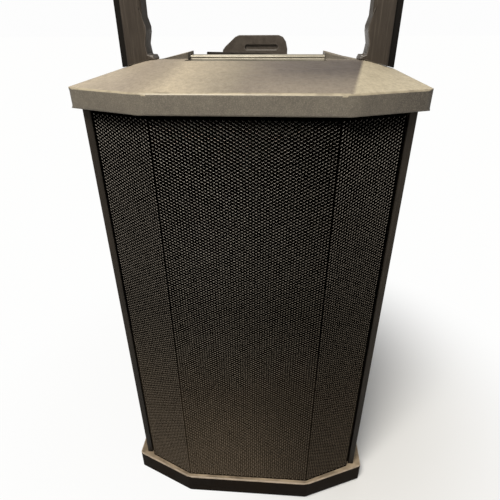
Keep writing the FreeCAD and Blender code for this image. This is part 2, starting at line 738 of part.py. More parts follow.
def power_inlet():
    x, z, y = INLET_X, MAINS_Z, PANEL_FACE_Y
    flange = box(x - 25, x + 25, y, y + 2.5, z - 16, z + 16)
    flange = rounded(flange, 4.0, lambda e: abs(e.Length - 2.5) < 0.01)
    body = box(x - 15.5, x + 15.5, y - 26, y, z - 12.5, z + 12.5)
    inlet = join([flange, body])
    inlet = inlet.cut(box(x - 13.5, x + 13.5, y - 20, y + 3, z - 10.5, z + 10.5))
    for dx, dz in ((-7, -2), (7, -2), (0, 3)):
        pin = box(x + dx - 1, x + dx + 1, y - 21, y - 6, z + dz - 2.5, z + dz + 2.5)
        inlet = inlet.fuse(pin)
    return inlet


def rocker_bezel():
    x, z, y = ROCKER_X, MAINS_Z, PANEL_FACE_Y
    frame = box(x - 12, x + 12, y, y + 2.5, z - 16, z + 16)
    frame = join([frame, box(x - 10, x + 10, y - 18, y, z - 13.5, z + 13.5)])
    return frame.cut(box(x - 8.5, x + 8.5, y - 12, y + 3, z - 12, z + 12))


def power_rocker():
    """Rocker that tips about its middle; it lies switched off, with its top end out."""
    x, z, y = ROCKER_X, MAINS_Z, PANEL_FACE_Y
    end = 9.2
    profile = [
        (z - end, y + 0.6), (z, y + 1.8), (z + end, y + 4.2), (z + end, y - 2.6), (z, y - 7), (z - end, y - 3.6),
    ]
    wire = Part.makePolygon([V(x - 8, py, pz) for pz, py in profile + profile[:1]])
    return Part.Face(wire).extrude(V(16, 0, 0))


def level_knob():
    knob = tube_y(KNOB_X, KNOB_Z, 0, KNOB_R, PANEL_FACE_Y + 1, PANEL_FACE_Y + 17)
    for i in range(18):
        angle = 2 * math.pi * i / 18
        notch = tube_y(
            KNOB_X + KNOB_R * math.cos(angle), KNOB_Z + KNOB_R * math.sin(angle),
            0, 1.1, PANEL_FACE_Y + 5, PANEL_FACE_Y + 18,
        )
        knob = knob.cut(notch)
    knob = knob.cut(tube_y(KNOB_X, KNOB_Z, 0, SHAFT_R + 0.06, PANEL_FACE_Y, PANEL_FACE_Y + 13))
    mark = box(KNOB_X - 0.7, KNOB_X + 0.7, PANEL_FACE_Y + 16.2, PANEL_FACE_Y + 18, KNOB_Z + 4, KNOB_Z + KNOB_R)
    return knob.cut(mark)


def level_control():
    """Potentiometer behind the panel; its bush and shaft come through."""
    can = tube_y(KNOB_X, KNOB_Z, 0, 8.0, PANEL_Y - 14, PANEL_Y - 0.2)
    shaft = tube_y(KNOB_X, KNOB_Z, 0, SHAFT_R, PANEL_Y - 1, PANEL_FACE_Y + 12)
    return join([can, shaft])


def panel_button(name):
    z = BUTTON_Z[name]
    return tube_y(BUTTON_X, z, 0, 4.5, PANEL_FACE_Y - 5, PANEL_FACE_Y + 5)


def led_places():
    return [(x, 600.0) for x in (-105.0, -85.0, -65.0, -45.0)]


def status_lights():
    return group([tube_y(x, z, 0, 2.0, PANEL_FACE_Y - 2, PANEL_FACE_Y + 1) for x, z in led_places()])


def panel_screw_places():
    places = [(sx * (PANEL_X - 6), z) for sx in (-1, 1) for z in (232.0, 328.0, 420.0, 512.0, 608.0)]
    return places


def rear_panel():
    panel = box(-PANEL_X, PANEL_X, PANEL_Y, PANEL_FACE_Y, *PANEL_Z)
    panel = rounded(panel, 8.0, lambda e: abs(e.Length - PANEL) < 0.01)
    y0, y1 = PANEL_Y - 1, PANEL_FACE_Y + 1
    for z in (INPUT_Z, OUTPUT_Z):
        for x in INPUT_X:
            panel = panel.cut(tube_y(x, z, 0, SOCKET_R + 1.7, y0, y1))
    panel = panel.cut(tube_y(KNOB_X, KNOB_Z, 0, 3.3, y0, y1))
    for z in BUTTON_Z.values():
        panel = panel.cut(tube_y(BUTTON_X, z, 0, 5.0, y0, y1))
    for x, z in led_places():
        panel = panel.cut(tube_y(x, z, 0, 2.1, y0, y1))
    for x, z in panel_screw_places():
        panel = panel.cut(tube_y(x, z, 0, 2.2, y0, y1))
    panel = panel.cut(box(INLET_X - 15.8, INLET_X + 15.8, y0, y1, MAINS_Z - 12.8, MAINS_Z + 12.8))
    return panel.cut(box(ROCKER_X - 10.3, ROCKER_X + 10.3, y0, y1, MAINS_Z - 13.8, MAINS_Z + 13.8))


def heatsink():
    plate = box(-108, 108, PANEL_FACE_Y, PANEL_FACE_Y + 4, 242, 402)
    fins = []
    count = 19
    for i in range(count):
        x = -106 + i * 212.0 / (count - 1)
        fins.append(box(x - 1.2, x + 1.2, PANEL_FACE_Y + 3, FIN_TIP_Y, 242, 402))
    return join([plate] + fins)


def amplifier_board():
    """Circuit board behind the heatsink, with its coils, capacitors and power devices."""
    board = box(-100, 100, 168, 169.6, 245, 400)
    parts = [board]
    for x in (-70, -40, -10):
        parts.append(tube_y(x, 290, 0, 11, 140, 168.5))
    for x in (30, 65):
        parts.append(tube_y(x, 285, 5, 15, 152, 168.5))
    for x in (-75, -45, -15, 15, 45, 75):
        parts.append(box(x - 8, x + 8, 169, 176, 350, 370))
    for x in (-92, 92):
        for z in (252, 393):
            parts.append(tube_y(x, z, 0, 3.5, 169, 189.8))
    return join(parts)


def power_supply():
    """Supply board with its transformer and reservoir capacitors."""
    board = box(-100, 60, 158, 159.6, 430, 530)
    parts = [board, box(-20, 25, 122, 158.5, 455, 505)]
    for x in (-80, -48):
        parts.append(tube_y(x, 480, 0, 15, 112, 158.5))
    for x in (-94, -26):
        for z in (436, 524):
            parts.append(tube_y(x, z, 0, 3.5, 159, 189.8))
    return join(parts)


def lead(route, diameter):
    """Wire along straight runs joined by tangent arcs."""
    points = [V(*p) for p in route]
    edges, start = [], points[0]
    for before, corner, after in zip(points, points[1:], points[2:]):
        back, ahead = (before - corner), (after - corner)
        turn = math.pi - back.getAngle(ahead)
        radius = 0.45 * min(back.Length, ahead.Length) / math.tan(turn / 2)
        reach = radius * math.tan(turn / 2)
        back.normalize()
        ahead.normalize()
        one, two = corner + back * reach, corner + ahead * reach
        bisector = back + ahead
        bisector.normalize()
        middle = corner + bisector * (radius / math.cos(turn / 2) - radius)
        edges.append(Part.LineSegment(start, one).toShape())
        edges.append(Part.Arc(one, middle, two).toShape())
        start = two
    edges.append(Part.LineSegment(start, points[-1]).toShape())
    path = Part.Wire(edges)
    direction = points[1] - points[0]
    section = Part.Wire(Part.makeCircle(diameter / 2, points[0], direction))
    return path.makePipeShell([section], True, False)


def speaker_leads():
    """Pair of leads from the amplifier to each woofer."""
    leads = []
    for dz, z_end in ((1, WOOFER_Z["upper"]), (-1, WOOFER_Z["lower"])):
        z0 = 345.0 if dz > 0 else 275.0
        for dx in (0, 6):
            route = [
                (-88 + dx, 167.7, z0), (-88 + dx, 140, z0), (-88 + dx, 104, z0 + dz * 14),
                (-88 + dx, 75, z0 + dz * 40),
                (-86 + dx, 45, z_end - dz * 66),
                (-86 + dx, 5, z_end - dz * 44),
                (-86 + dx, -32, z_end - dz * 30),
            ]
            leads.append(lead(route, 3.0))
    return group(leads)


def case_screws():
    """Cross-head screws that hold the rear panel and the two side cups."""
    screws = []
    for x, z in panel_screw_places():
        head = tube_y(x, z, 0, 4.0, PANEL_FACE_Y, PANEL_FACE_Y + 2.2)
        screws.append(join([head, tube_y(x, z, 0, 2.0, PANEL_Y - 8, PANEL_FACE_Y)]))
    for side in (-1, 1):
        for dy in (-1, 1):
            for dz in (-1, 1):
                y = CUP_Y + dy * (CUP_SIZE[0] / 2 + 3)
                z = CUP_Z + dz * (CUP_SIZE[1] / 2 - 12)
                x = side * (BODY_X + 3)
                screws.append(Part.makeCylinder(3.6, 2.0, V(x, y, z), V(side, 0, 0)))
    return group(screws)


def save_pair(name, shape):
    """Save a piece made on +X and its mirror image."""
    save("right_" + name, shape)
    save("left_" + name, mirrored(shape))


def main():
    os.makedirs("parts", exist_ok=True)
    save("cabinet_shell", cabinet_shell())
    save("front_baffle", front_baffle())
    save("window_brace", window_brace())
    save("top_cap", top_cap())
    save("base_cap", base_cap())
    save("rubber_feet", rubber_feet())
    save("front_grille", front_grille())
    save("grille_cloth", grille_cloth())
    save("handle_bar", handle_bar())
    save("hand_pocket", hand_pocket())
    save_pair("leg_socket", leg_socket())
    save_pair("handle_cup", side_cup())
    save("case_screws", case_screws())
    save("stand_catch", stand_catch())
    save("catch_pin", catch_pin())
    save_pair("leg", leg())
    save_pair("leg_strip", leg_strip())
    save("stand_crossbar", crossbar())
    save("speaker_spigot", spigot())
    save("stand_bolts", stand_bolts())
    for name, z in WOOFER_Z.items():
        save(name + "_basket", basket(z))
        save(name + "_surround", surround(z))
        save(name + "_cone", cone(z))
        save(name + "_dust_cap", dust_cap(z))
        save(name + "_voice_coil", voice_coil(z))
        save(name + "_spider", spider(z))
        save(name + "_top_plate", top_plate(z))
        save(name + "_magnet", magnet(z))
        save(name + "_back_plate", back_plate(z))
    save("woofer_screws", woofer_screws())
    save("left_port", port(-1))
    save("right_port", port(1))
    save("rear_panel", rear_panel())
    save("heatsink", heatsink())
    save("amplifier_board", amplifier_board())
    save("power_supply", power_supply())
    save("power_inlet", power_inlet())
    save("rocker_bezel", rocker_bezel())
    save("power_rocker", power_rocker())
    save("line_inputs", line_inputs())
    save("line_outputs", line_outputs())
    save("level_knob", level_knob())
    save("level_control", level_control())
    for name in BUTTON_Z:
        save(name, panel_button(name))
    save("status_lights", status_lights())
    save("speaker_leads", speaker_leads())


main()
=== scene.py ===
import json
import math

import bmesh
import bpy
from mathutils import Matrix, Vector
from mathutils.geometry import delaunay_2d_cdt

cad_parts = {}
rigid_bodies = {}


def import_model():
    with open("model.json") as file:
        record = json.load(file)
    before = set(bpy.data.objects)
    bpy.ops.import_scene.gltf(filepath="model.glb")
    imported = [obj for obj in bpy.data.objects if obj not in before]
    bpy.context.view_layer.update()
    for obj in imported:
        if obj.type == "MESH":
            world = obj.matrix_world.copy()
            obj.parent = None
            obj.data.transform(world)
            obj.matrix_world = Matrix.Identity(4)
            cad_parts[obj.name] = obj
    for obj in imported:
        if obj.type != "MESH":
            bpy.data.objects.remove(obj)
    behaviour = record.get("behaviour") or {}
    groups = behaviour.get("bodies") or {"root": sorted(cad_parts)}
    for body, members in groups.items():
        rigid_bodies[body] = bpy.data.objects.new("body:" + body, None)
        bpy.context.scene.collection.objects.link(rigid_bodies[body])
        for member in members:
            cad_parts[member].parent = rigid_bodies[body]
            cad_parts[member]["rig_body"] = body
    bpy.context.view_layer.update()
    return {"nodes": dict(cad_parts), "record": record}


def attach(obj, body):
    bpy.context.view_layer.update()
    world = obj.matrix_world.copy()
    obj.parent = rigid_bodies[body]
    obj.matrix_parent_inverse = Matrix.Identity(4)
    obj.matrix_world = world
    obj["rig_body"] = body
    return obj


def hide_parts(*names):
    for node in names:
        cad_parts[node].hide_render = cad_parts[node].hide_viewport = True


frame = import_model()
NODES = frame["nodes"]
SLOT = {part["node"]: part["material_slot"] for part in frame["record"]["subparts"]}
MM = 0.001

# Cap plan, in millimetres
CAP_FRONT_Y = -223.0
CAP_CORNER_Y = -181.0
CAP_FACET_HALF = 112.0
CAP_RIDGE_X = 158.0
CAP_RIDGE_Y = 2.0
CAP_SIDE_X = 205.0
CAP_BACK_Y = 223.0
CAP_BACK_CORNER = 378.0

# Cap heights and edge roundings, in millimetres
CAP_UNDER_Z = 665.0
CAP_TOP_EDGE_Z = 686.0
CAP_TOP_ROUND = 3.2
CAP_UNDER_ROUND = 2.2
CAP_CORNER_ROUND = 12.0
CAP_CREASE_ROUND = 8.0
CAP_DETAIL_ROUND = 1.2

# Grille sheet, in millimetres
GRILLE_FOLD_X = 103.5
GRILLE_EDGE_X = 178.0
GRILLE_FACE_Y = -217.0
GRILLE_EDGE_Y = -184.0
GRILLE_SHEET = 1.2
GRILLE_RETURN = 8.0
GRILLE_Z = (41.5, 664.5)
HOLE_PITCH = 4.0
HOLE_R = 1.5
PLAIN_EDGE = 1.6
FOLD_PLAIN = 1.75

# Rear panel and screws, in millimetres
PANEL_FACE_Y = 193.0
PANEL_SCREW_X = 124.0
PANEL_SCREW_Z = (232.0, 328.0, 420.0, 512.0, 608.0)
CUP_RIM_X = 194.0
CUP_SCREW_Y = (-38.0, 118.0)
CUP_SCREW_Z = (467.0, 533.0)
KNOB = (-45.0, 555.0)
DIAL_R = 18.5

# Camera, in metres, radians and millimetres of lens
CAMERA_PLACE = (0.038, -0.6615, 0.750)
CAMERA_TURN = (1.06679, 0.004378, 0.068585)
CAMERA_LENS = 29.58
FLOOR_REACH = 30.0


# ---------------------------------------------------------------- materials

class Shader:
    """A Principled material whose colour, roughness and relief come from procedural nodes."""

    def __init__(self, name):
        self.material = bpy.data.materials.new(name)
        self.material.use_nodes = True
        self.tree = self.material.node_tree
        self.bsdf = self.tree.nodes["Principled BSDF"]
        self.coords = self.tree.nodes.new("ShaderNodeTexCoord").outputs["Object"]

    def node(self, kind, **settings):
        made = self.tree.nodes.new(kind)
        for key, value in settings.items():
            setattr(made, key, value)
        return made

    def link(self, source, target):
        self.tree.links.new(source, target)

    def stretched(self, stretch):
        mapping = self.node("ShaderNodeMapping")
        mapping.inputs["Scale"].default_value = stretch
        self.link(self.coords, mapping.inputs["Vector"])
        return mapping.outputs["Vector"]

    def noise(self, scale, detail=3.0, rough=0.55, stretch=None, distortion=0.0):
        made = self.node("ShaderNodeTexNoise")
        made.inputs["Scale"].default_value = scale
        made.inputs["Detail"].default_value = detail
        made.inputs["Roughness"].default_value = rough
        made.inputs["Distortion"].default_value = distortion
        self.link(self.stretched(stretch) if stretch else self.coords, made.inputs["Vector"])
        return made.outputs["Fac"]

    def ramp(self, source, stops):
        made = self.node("ShaderNodeValToRGB")
        elements = made.color_ramp.elements
        while len(elements) < len(stops):
            elements.new(0.5)
        for element, (place, colour) in zip(elements, stops):
            element.position = place
            element.color = (*colour, 1.0) if len(colour) == 3 else colour
        self.link(source, made.inputs["Fac"])
        return made.outputs["Color"]

    def steps(self, source, low, high, start=0.0, end=1.0):
        """Source rescaled from low..high to start..end and kept within it."""
        made = self.node("ShaderNodeMapRange")
        made.interpolation_type = "SMOOTHSTEP"
        for name, value in (("From Min", low), ("From Max", high), ("To Min", start), ("To Max", end)):
            made.inputs[name].default_value = value
        self.link(source, made.inputs["Value"])
        return made.outputs["Result"]

    def math(self, operation, one, two):
        made = self.node("ShaderNodeMath", operation=operation)
        for place, value in enumerate((one, two)):
            if isinstance(value, (int, float)):
                made.inputs[place].default_value = value
            else:
                self.link(value, made.inputs[place])
        return made.outputs["Value"]

    def mix(self, factor, one, two, blend="MIX"):
        made = self.node("ShaderNodeMix", data_type="RGBA", blend_type=blend)
        if isinstance(factor, (int, float)):
            made.inputs["Factor"].default_value = factor
        else:
            self.link(factor, made.inputs["Factor"])
        for socket, value in ((made.inputs[6], one), (made.inputs[7], two)):
            if isinstance(value, tuple):
                socket.default_value = (*value, 1.0)
            else:
                self.link(value, socket)
        return made.outputs[2]

    def upward(self, low=0.35, high=0.95):
        """How far a surface faces up."""
        normal = self.node("ShaderNodeNewGeometry").outputs["Normal"]
        parts = self.node("ShaderNodeSeparateXYZ")
        self.link(normal, parts.inputs["Vector"])
        return self.steps(parts.outputs["Z"], low, high)

    def axis(self, name):
        parts = self.node("ShaderNodeSeparateXYZ")
        self.link(self.coords, parts.inputs["Vector"])
        return parts.outputs[name]

    def relief(self, height, strength, depth):
        """Bump whose depth is given in metres."""
        made = self.node("ShaderNodeBump")
        made.inputs["Strength"].default_value = strength
        made.inputs["Distance"].default_value = depth
        self.link(height, made.inputs["Height"])
        self.link(made.outputs["Normal"], self.bsdf.inputs["Normal"])

    def finish(self, colour, roughness, metallic=0.0, specular=0.5):
        self.link(colour, self.bsdf.inputs["Base Color"])
        if isinstance(roughness, (int, float)):
            self.bsdf.inputs["Roughness"].default_value = roughness
        else:
            self.link(roughness, self.bsdf.inputs["Roughness"])
        self.bsdf.inputs["Metallic"].default_value = metallic
        self.bsdf.inputs["Specular IOR Level"].default_value = specular
        return self.material


def moulded(name, dark, light, dust_and_painted_light, dust_and_light_amount, roughness=(0.42, 0.62), grain=1500.0, grain_strength=0.3,
            patch=11.0, specular=0.5, streaks=0.0, darker_below=0.0):
    """Grained moulded plastic: mottled, dusty with a painted top light on what faces up, with faint wiped streaks,
    and optionally darker towards the bottom.
    """
    s = Shader(name)
    patches = s.noise(patch, 5.0, 0.6)
    colour = s.ramp(patches, [(0.32, dark), (0.7, light)])
    # Optionally darker towards the bottom, below the given height.
    if darker_below:
        low_down = s.steps(s.axis("Z"), darker_below, darker_below - 0.4, 0.0, 0.75)
        colour = s.mix(low_down, colour, tuple(c * 0.3 for c in dark))
    speckle = s.noise(grain * 0.7, 2.0)
    colour = s.mix(s.steps(speckle, 0.35, 0.8, 0.0, 0.22), colour, tuple(c * 1.5 for c in light))
    if streaks:
        lines = s.noise(30.0, 4.0, 0.7, stretch=(14.0, 14.0, 0.5))
        colour = s.mix(s.steps(lines, 0.45, 0.75, 0.0, streaks), colour, dust_and_painted_light)
    # What faces up takes the dusty tone: partly dirt, partly a painted top light where the overhead lamp falls.
    if dust_and_light_amount:
        cover = s.math("MULTIPLY", s.upward(), s.steps(s.noise(26.0, 6.0, 0.65), 0.3, 0.72, 0.35, 1.0))
        colour = s.mix(s.math("MULTIPLY", cover, dust_and_light_amount), colour, dust_and_painted_light)
    pebble = s.math("ADD", s.noise(grain, 2.0), s.math("MULTIPLY", s.noise(grain * 0.4, 1.0), 0.6))
    s.relief(pebble, grain_strength, 0.0004)
    return s.finish(colour, s.steps(patches, 0.3, 0.7, *roughness), specular=specular)


def worn_and_highlit_edge(name, base, worn_and_lit, amount=0.8, scale=60.0):
    """Rubbed edge of a moulding, partly wear and partly a painted highlight: the lighter tone comes and goes along
    it.
    """
    s = Shader(name)
    # Noise that breaks up the wear and the painted highlight along the edge.
    wear_and_glint = s.noise(scale, 5.0, 0.7, stretch=(1.0, 2.0, 2.0))
    colour = s.mix(s.steps(wear_and_glint, 0.35, 0.6, 0.25, amount), base, worn_and_lit)
    s.relief(s.noise(900.0, 2.0), 0.2, 0.0003)
    return s.finish(colour, s.steps(wear_and_glint, 0.3, 0.7, 0.35, 0.5))


def cap_plastic():
    """Cap moulding: painted sheen left of its middle, painted shade to the right, a painted highlight on the right
    facet, and a top painted lighter than its sides by the overhead light.
    """
    s = Shader("cap_plastic")
    x, y = s.axis("X"), s.axis("Y")
    wander = s.math("MULTIPLY", s.math("SUBTRACT", s.noise(17.0, 6.0, 0.7), 0.5), 0.05)
    across = s.math("MULTIPLY", s.math("ADD", s.math("ADD", x, wander), 0.2), 3.125)
    # Painted sheen and shade across the top: a bright glare strip left of the middle, darkening to the right.
    sheen_and_shade = s.ramp(across, [
        (0.03, (0.86, 0.86, 0.9)), (0.19, (0.62, 0.61, 0.66)), (0.27, (0.62, 0.61, 0.64)),
        (0.36, (0.94, 0.94, 0.94)), (0.46, (0.73, 0.73, 0.74)), (0.56, (0.5, 0.5, 0.52)),
        (0.66, (0.34, 0.33, 0.37)), (0.75, (0.22, 0.21, 0.26)), (0.86, (0.16, 0.15, 0.19)),
        (0.96, (0.13, 0.12, 0.16)),
    ])
    # The painted shade to the right eases towards the front, and behind the ridge the top is painted a flat mid
    # tone.
    forward = s.steps(s.math("ADD", y, wander), -0.08, -0.21, 0.0, 0.85)
    right = s.steps(x, -0.02, 0.03)
    sheen_and_shade = s.mix(s.math("MULTIPLY", forward, right), sheen_and_shade, (0.47, 0.46, 0.5))
    # Painted highlight on the right facet, beyond the crease.
    crease = s.math("ADD", 0.112, s.math("MULTIPLY", s.math("ADD", s.math("MINIMUM", y, 0.002), 0.223), 0.2044))
    facet = s.steps(s.math("SUBTRACT", x, crease), -0.004, 0.002)
    sheen_and_shade = s.mix(facet, sheen_and_shade, (0.92, 0.95, 0.94))
    sheen_and_shade = s.mix(s.steps(y, -0.03, 0.07), sheen_and_shade, (0.56, 0.56, 0.58))
    # The top's beige tone is painted light from the overhead lamp; the fine grit is the surface's own.
    lit_top = s.mix(1.0, sheen_and_shade, (0.615, 0.518, 0.376), "MULTIPLY")
    grit = s.noise(230.0, 5.0, 0.8, stretch=(1.0, 0.4, 1.0))
    lit_top = s.mix(1.0, lit_top, s.ramp(grit, [(0.38, (0.72, 0.71, 0.7)), (0.6, (1.0, 1.0, 1.0))]), "MULTIPLY")
    # Sides darker than the top, with painted shade on the right-hand sides.
    shaded_wall = s.ramp(s.noise(40.0, 6.0, 0.7), [(0.3, (0.09, 0.077, 0.06)), (0.7, (0.12, 0.103, 0.08))])
    shaded_wall = s.mix(s.steps(x, 0.11, 0.19, 0.0, 0.85), shaded_wall, (0.045, 0.036, 0.029))
    # Faces turned up take the painted-lit top tone, the others the shaded side tone.
    colour = s.mix(s.upward(0.5, 0.9), shaded_wall, lit_top)
    film = s.steps(s.noise(95.0, 8.0, 0.75), 0.3, 0.75, 0.0, 0.22)
    colour = s.mix(film, colour, (0.26, 0.225, 0.17))
    colour = s.mix(s.steps(s.noise(900.0, 3.0, 0.7), 0.42, 0.75, 0.0, 0.3), colour, (0.42, 0.38, 0.3))
    colour = s.mix(s.steps(s.noise(1300.0, 2.0), 0.5, 0.7, 0.0, 0.35), colour, (0.09, 0.078, 0.06))
    s.relief(s.math("ADD", s.noise(1500.0, 2.0), s.noise(600.0, 1.0)), 0.3, 0.0004)
    return s.finish(colour, s.steps(s.noise(60.0, 4.0), 0.3, 0.7, 0.5, 0.66))


def cap_edge():
    # Lighter rim tone: wear and a painted highlight along the lit top edge.
    return worn_and_highlit_edge("cap_worn_highlit_edge", (0.22, 0.185, 0.135), (0.43, 0.37, 0.26), 0.85)


def base_plastic():
    # Painted shade: the same plastic as the cap, painted much darker because the base stands in shade; its upward
    # ledge takes a light dusty tone that is partly painted top light.
    return moulded("base_plastic", (0.0045, 0.0026, 0.0012), (0.0095, 0.0058, 0.003), (0.46, 0.36, 0.25), 0.92,
                   patch=16.0, specular=0.05, roughness=(0.6, 0.75))


def base_edge():
    # Lighter rim tone: wear and a painted highlight along the ledge's edge.
    return worn_and_highlit_edge("base_worn_highlit_edge", (0.2, 0.155, 0.11), (0.48, 0.38, 0.28), 0.7)


def body_plastic():
    return moulded("body_plastic", (0.013, 0.0105, 0.008), (0.03, 0.024, 0.018), (0.16, 0.13, 0.1), 0.4,
                   grain=900.0, specular=0.15, streaks=0.08, darker_below=0.5)


def stand_plastic():
    return moulded("stand_plastic", (0.03, 0.023, 0.018), (0.052, 0.041, 0.031), (0.15, 0.125, 0.1), 0.35,
                   grain=1800.0, grain_strength=0.15, streaks=0.35, specular=0.25)


def stand_edge():
    # Lighter edge tone: wear and a painted highlight where the legs' edges catch the light.
    return worn_and_highlit_edge("stand_worn_highlit_edge", (0.05, 0.04, 0.032), (0.15, 0.13, 0.11), 0.7)


def catch_plastic():
    return moulded("catch_plastic", (0.058, 0.046, 0.037), (0.095, 0.079, 0.063), (0.2, 0.17, 0.13), 0.3,
                   grain=700.0, grain_strength=0.6, specular=0.25, patch=90.0)


def grille_steel():
    """Powder-coated sheet: near black, lighter and browner towards its foot, and less so towards its right side
    under painted shade.
    """
    s = Shader("grille_steel")
    rising = s.math("ADD", s.axis("Z"), s.math("MULTIPLY", s.noise(7.0, 4.0, 0.6), 0.18))
    # Lighter and browner towards the foot.
    dust_and_painted_light = s.steps(rising, 0.5, 0.12)
    dust_and_painted_light = s.math("MULTIPLY", dust_and_painted_light, s.steps(s.noise(45.0, 5.0, 0.7), 0.25, 0.7, 0.6, 1.0))
    # Painted shade: less of the lighter tone towards the right.
    dust_and_painted_light = s.math("MULTIPLY", dust_and_painted_light, s.steps(s.axis("X"), 0.0, 0.12, 1.0, 0.35))
    colour = s.mix(dust_and_painted_light, (0.0006, 0.0005, 0.0004), (0.034, 0.0255, 0.0165))
    s.relief(s.noise(2500.0, 2.0), 0.2, 0.0001)
    return s.finish(colour, 0.8, specular=0.005)


def hole_edge():
    """The lower wall of each hole, with a painted highlight and dusty specks: brightest at the grille's head, with
    painted shade towards the right.
    """
    s = Shader("grille_hole_edge")
    height = s.math("ADD", s.axis("Z"), s.math("MULTIPLY", s.math("SUBTRACT", s.noise(6.0, 4.0, 0.6), 0.5), 0.1))
    # Painted highlight on the lower hole walls, growing towards the grille's head under the overhead lamp.
    colour = s.ramp(height, [
        (0.05, (0.25, 0.195, 0.14)), (0.25, (0.18, 0.147, 0.11)), (0.4, (0.22, 0.197, 0.167)),
        (0.56, (0.53, 0.49, 0.44)), (0.64, (0.79, 0.74, 0.67)),
    ])
    # Painted shade towards the right; the left facet is made darker as well.
    colour = s.mix(s.steps(s.axis("X"), -0.06, 0.13, 0.0, 0.55), colour, (0.07, 0.055, 0.04))
    colour = s.mix(s.steps(s.axis("X"), -0.1, -0.107, 0.0, 0.5), colour, (0.1, 0.085, 0.07))
    colour = s.mix(s.steps(s.noise(240.0, 3.0, 0.7), 0.3, 0.7, 0.0, 0.4), colour, (0.12, 0.105, 0.09))
    return s.finish(colour, 0.6, specular=0.1)


def acoustic_cloth():
    s = Shader("acoustic_cloth")
    upright, level = s.noise(2200.0, 1.0, stretch=(1.0, 1.0, 0.2)), s.noise(2200.0, 1.0, stretch=(0.2, 1.0, 1.0))
    weave = s.math("MULTIPLY", upright, level)
    colour = s.ramp(weave, [(0.1, (0.0015, 0.0014, 0.0013)), (0.5, (0.005, 0.0045, 0.004))])
    s.relief(weave, 0.5, 0.0003)
    return s.finish(colour, 0.95, specular=0.05)


def rubber():
    s = Shader("rubber")
    scuffs = s.noise(55.0, 5.0, 0.7, stretch=(1.0, 1.0, 0.3))
    colour = s.ramp(scuffs, [(0.35, (0.004, 0.0034, 0.003)), (0.75, (0.011, 0.0095, 0.008))])
    s.relief(s.noise(1700.0, 3.0), 0.35, 0.0003)
    return s.finish(colour, s.steps(scuffs, 0.3, 0.7, 0.6, 0.85), specular=0.12)


def brushed(name, dark, light, stretch, roughness, metallic, scale=180.0):
    """Metal with the fine lines of drawing or turning."""
    s = Shader(name)
    lines = s.noise(scale, 4.0, 0.7, stretch=stretch)
    spots = s.noise(40.0, 4.0)
    colour = s.mix(s.steps(lines, 0.3, 0.7), dark, light)
    colour = s.mix(s.steps(spots, 0.55, 0.75, 0.0, 0.35), colour, tuple(c * 0.6 for c in dark))
    s.relief(lines, 0.12, 0.0001)
    return s.finish(colour, s.steps(lines, 0.3, 0.7, *roughness), metallic)


def bar_metal():
    # The light cream colour is a painted highlight: the bar catches the overhead light strongly.
    return brushed("bar_metal", (0.31, 0.28, 0.215), (0.54, 0.495, 0.4), (0.05, 1.5, 1.5), (0.34, 0.5), 0.35)


def spigot_steel():
    return brushed("spigot_steel", (0.32, 0.31, 0.3), (0.5, 0.49, 0.47), (0.3, 0.3, 3.0), (0.22, 0.4), 1.0)


def fastener():
    return brushed("fastener", (0.045, 0.043, 0.04), (0.1, 0.095, 0.09), (1.0, 1.0, 1.0), (0.3, 0.5), 1.0, 900.0)


def motor_steel():
    return brushed("motor_steel", (0.35, 0.33, 0.28), (0.52, 0.5, 0.44), (1.0, 3.0, 1.0), (0.25, 0.45), 1.0)


def panel_metal():
    s = Shader("panel_metal")
    fine = s.noise(1400.0, 3.0)
    wear = s.noise(18.0, 5.0, 0.65)
    colour = s.ramp(wear, [(0.35, (0.018, 0.017, 0.016)), (0.75, (0.032, 0.03, 0.027))])
    colour = s.mix(s.steps(s.noise(60.0, 5.0, 0.75), 0.62, 0.75, 0.0, 0.35), colour, (0.12, 0.11, 0.1))
    s.relief(fine, 0.3, 0.0002)
    return s.finish(colour, s.steps(wear, 0.3, 0.7, 0.45, 0.6), specular=0.4)


def panel_print():
    s = Shader("panel_print")
    patchy = s.noise(220.0, 3.0)
    colour = s.ramp(patchy, [(0.25, (0.5, 0.49, 0.46)), (0.6, (0.75, 0.74, 0.7))])
    return s.finish(colour, 0.5)


def fin_metal():
    s = Shader("fin_metal")
    grain = s.noise(260.0, 4.0, 0.7, stretch=(1.0, 1.0, 0.05))
    colour = s.ramp(grain, [(0.3, (0.012, 0.012, 0.012)), (0.7, (0.034, 0.033, 0.032))])
    colour = s.mix(s.math("MULTIPLY", s.upward(), 0.4), colour, (0.16, 0.14, 0.11))
    s.relief(grain, 0.15, 0.0001)
    return s.finish(colour, 0.42, 0.6)


def board_wood(name, dark, light):
    """Painted plywood or fibreboard."""
    s = Shader(name)
    fibre = s.noise(90.0, 6.0, 0.7, stretch=(0.25, 4.0, 4.0), distortion=0.6)
    colour = s.ramp(fibre, [(0.3, dark), (0.7, light)])
    s.relief(s.noise(700.0, 4.0), 0.4, 0.0004)
    return s.finish(colour, 0.75, specular=0.25)


def baffle_board():
    return board_wood("baffle_board", (0.008, 0.007, 0.006), (0.018, 0.016, 0.014))


def brace_board():
    return board_wood("brace_board", (0.28, 0.19, 0.1), (0.42, 0.3, 0.17))


def cast_frame():
    s = Shader("cast_frame")
    cast = s.noise(500.0, 4.0, 0.7)
    colour = s.ramp(cast, [(0.3, (0.015, 0.015, 0.016)), (0.7, (0.035, 0.035, 0.037))])
    s.relief(cast, 0.4, 0.0004)
    return s.finish(colour, 0.45, 0.3)


def ferrite():
    s = Shader("ferrite")
    sinter = s.noise(900.0, 5.0, 0.75)
    colour = s.ramp(sinter, [(0.3, (0.02, 0.02, 0.021)), (0.75, (0.05, 0.05, 0.052))])
    s.relief(sinter, 0.35, 0.0003)
    return s.finish(colour, 0.7, 0.2)


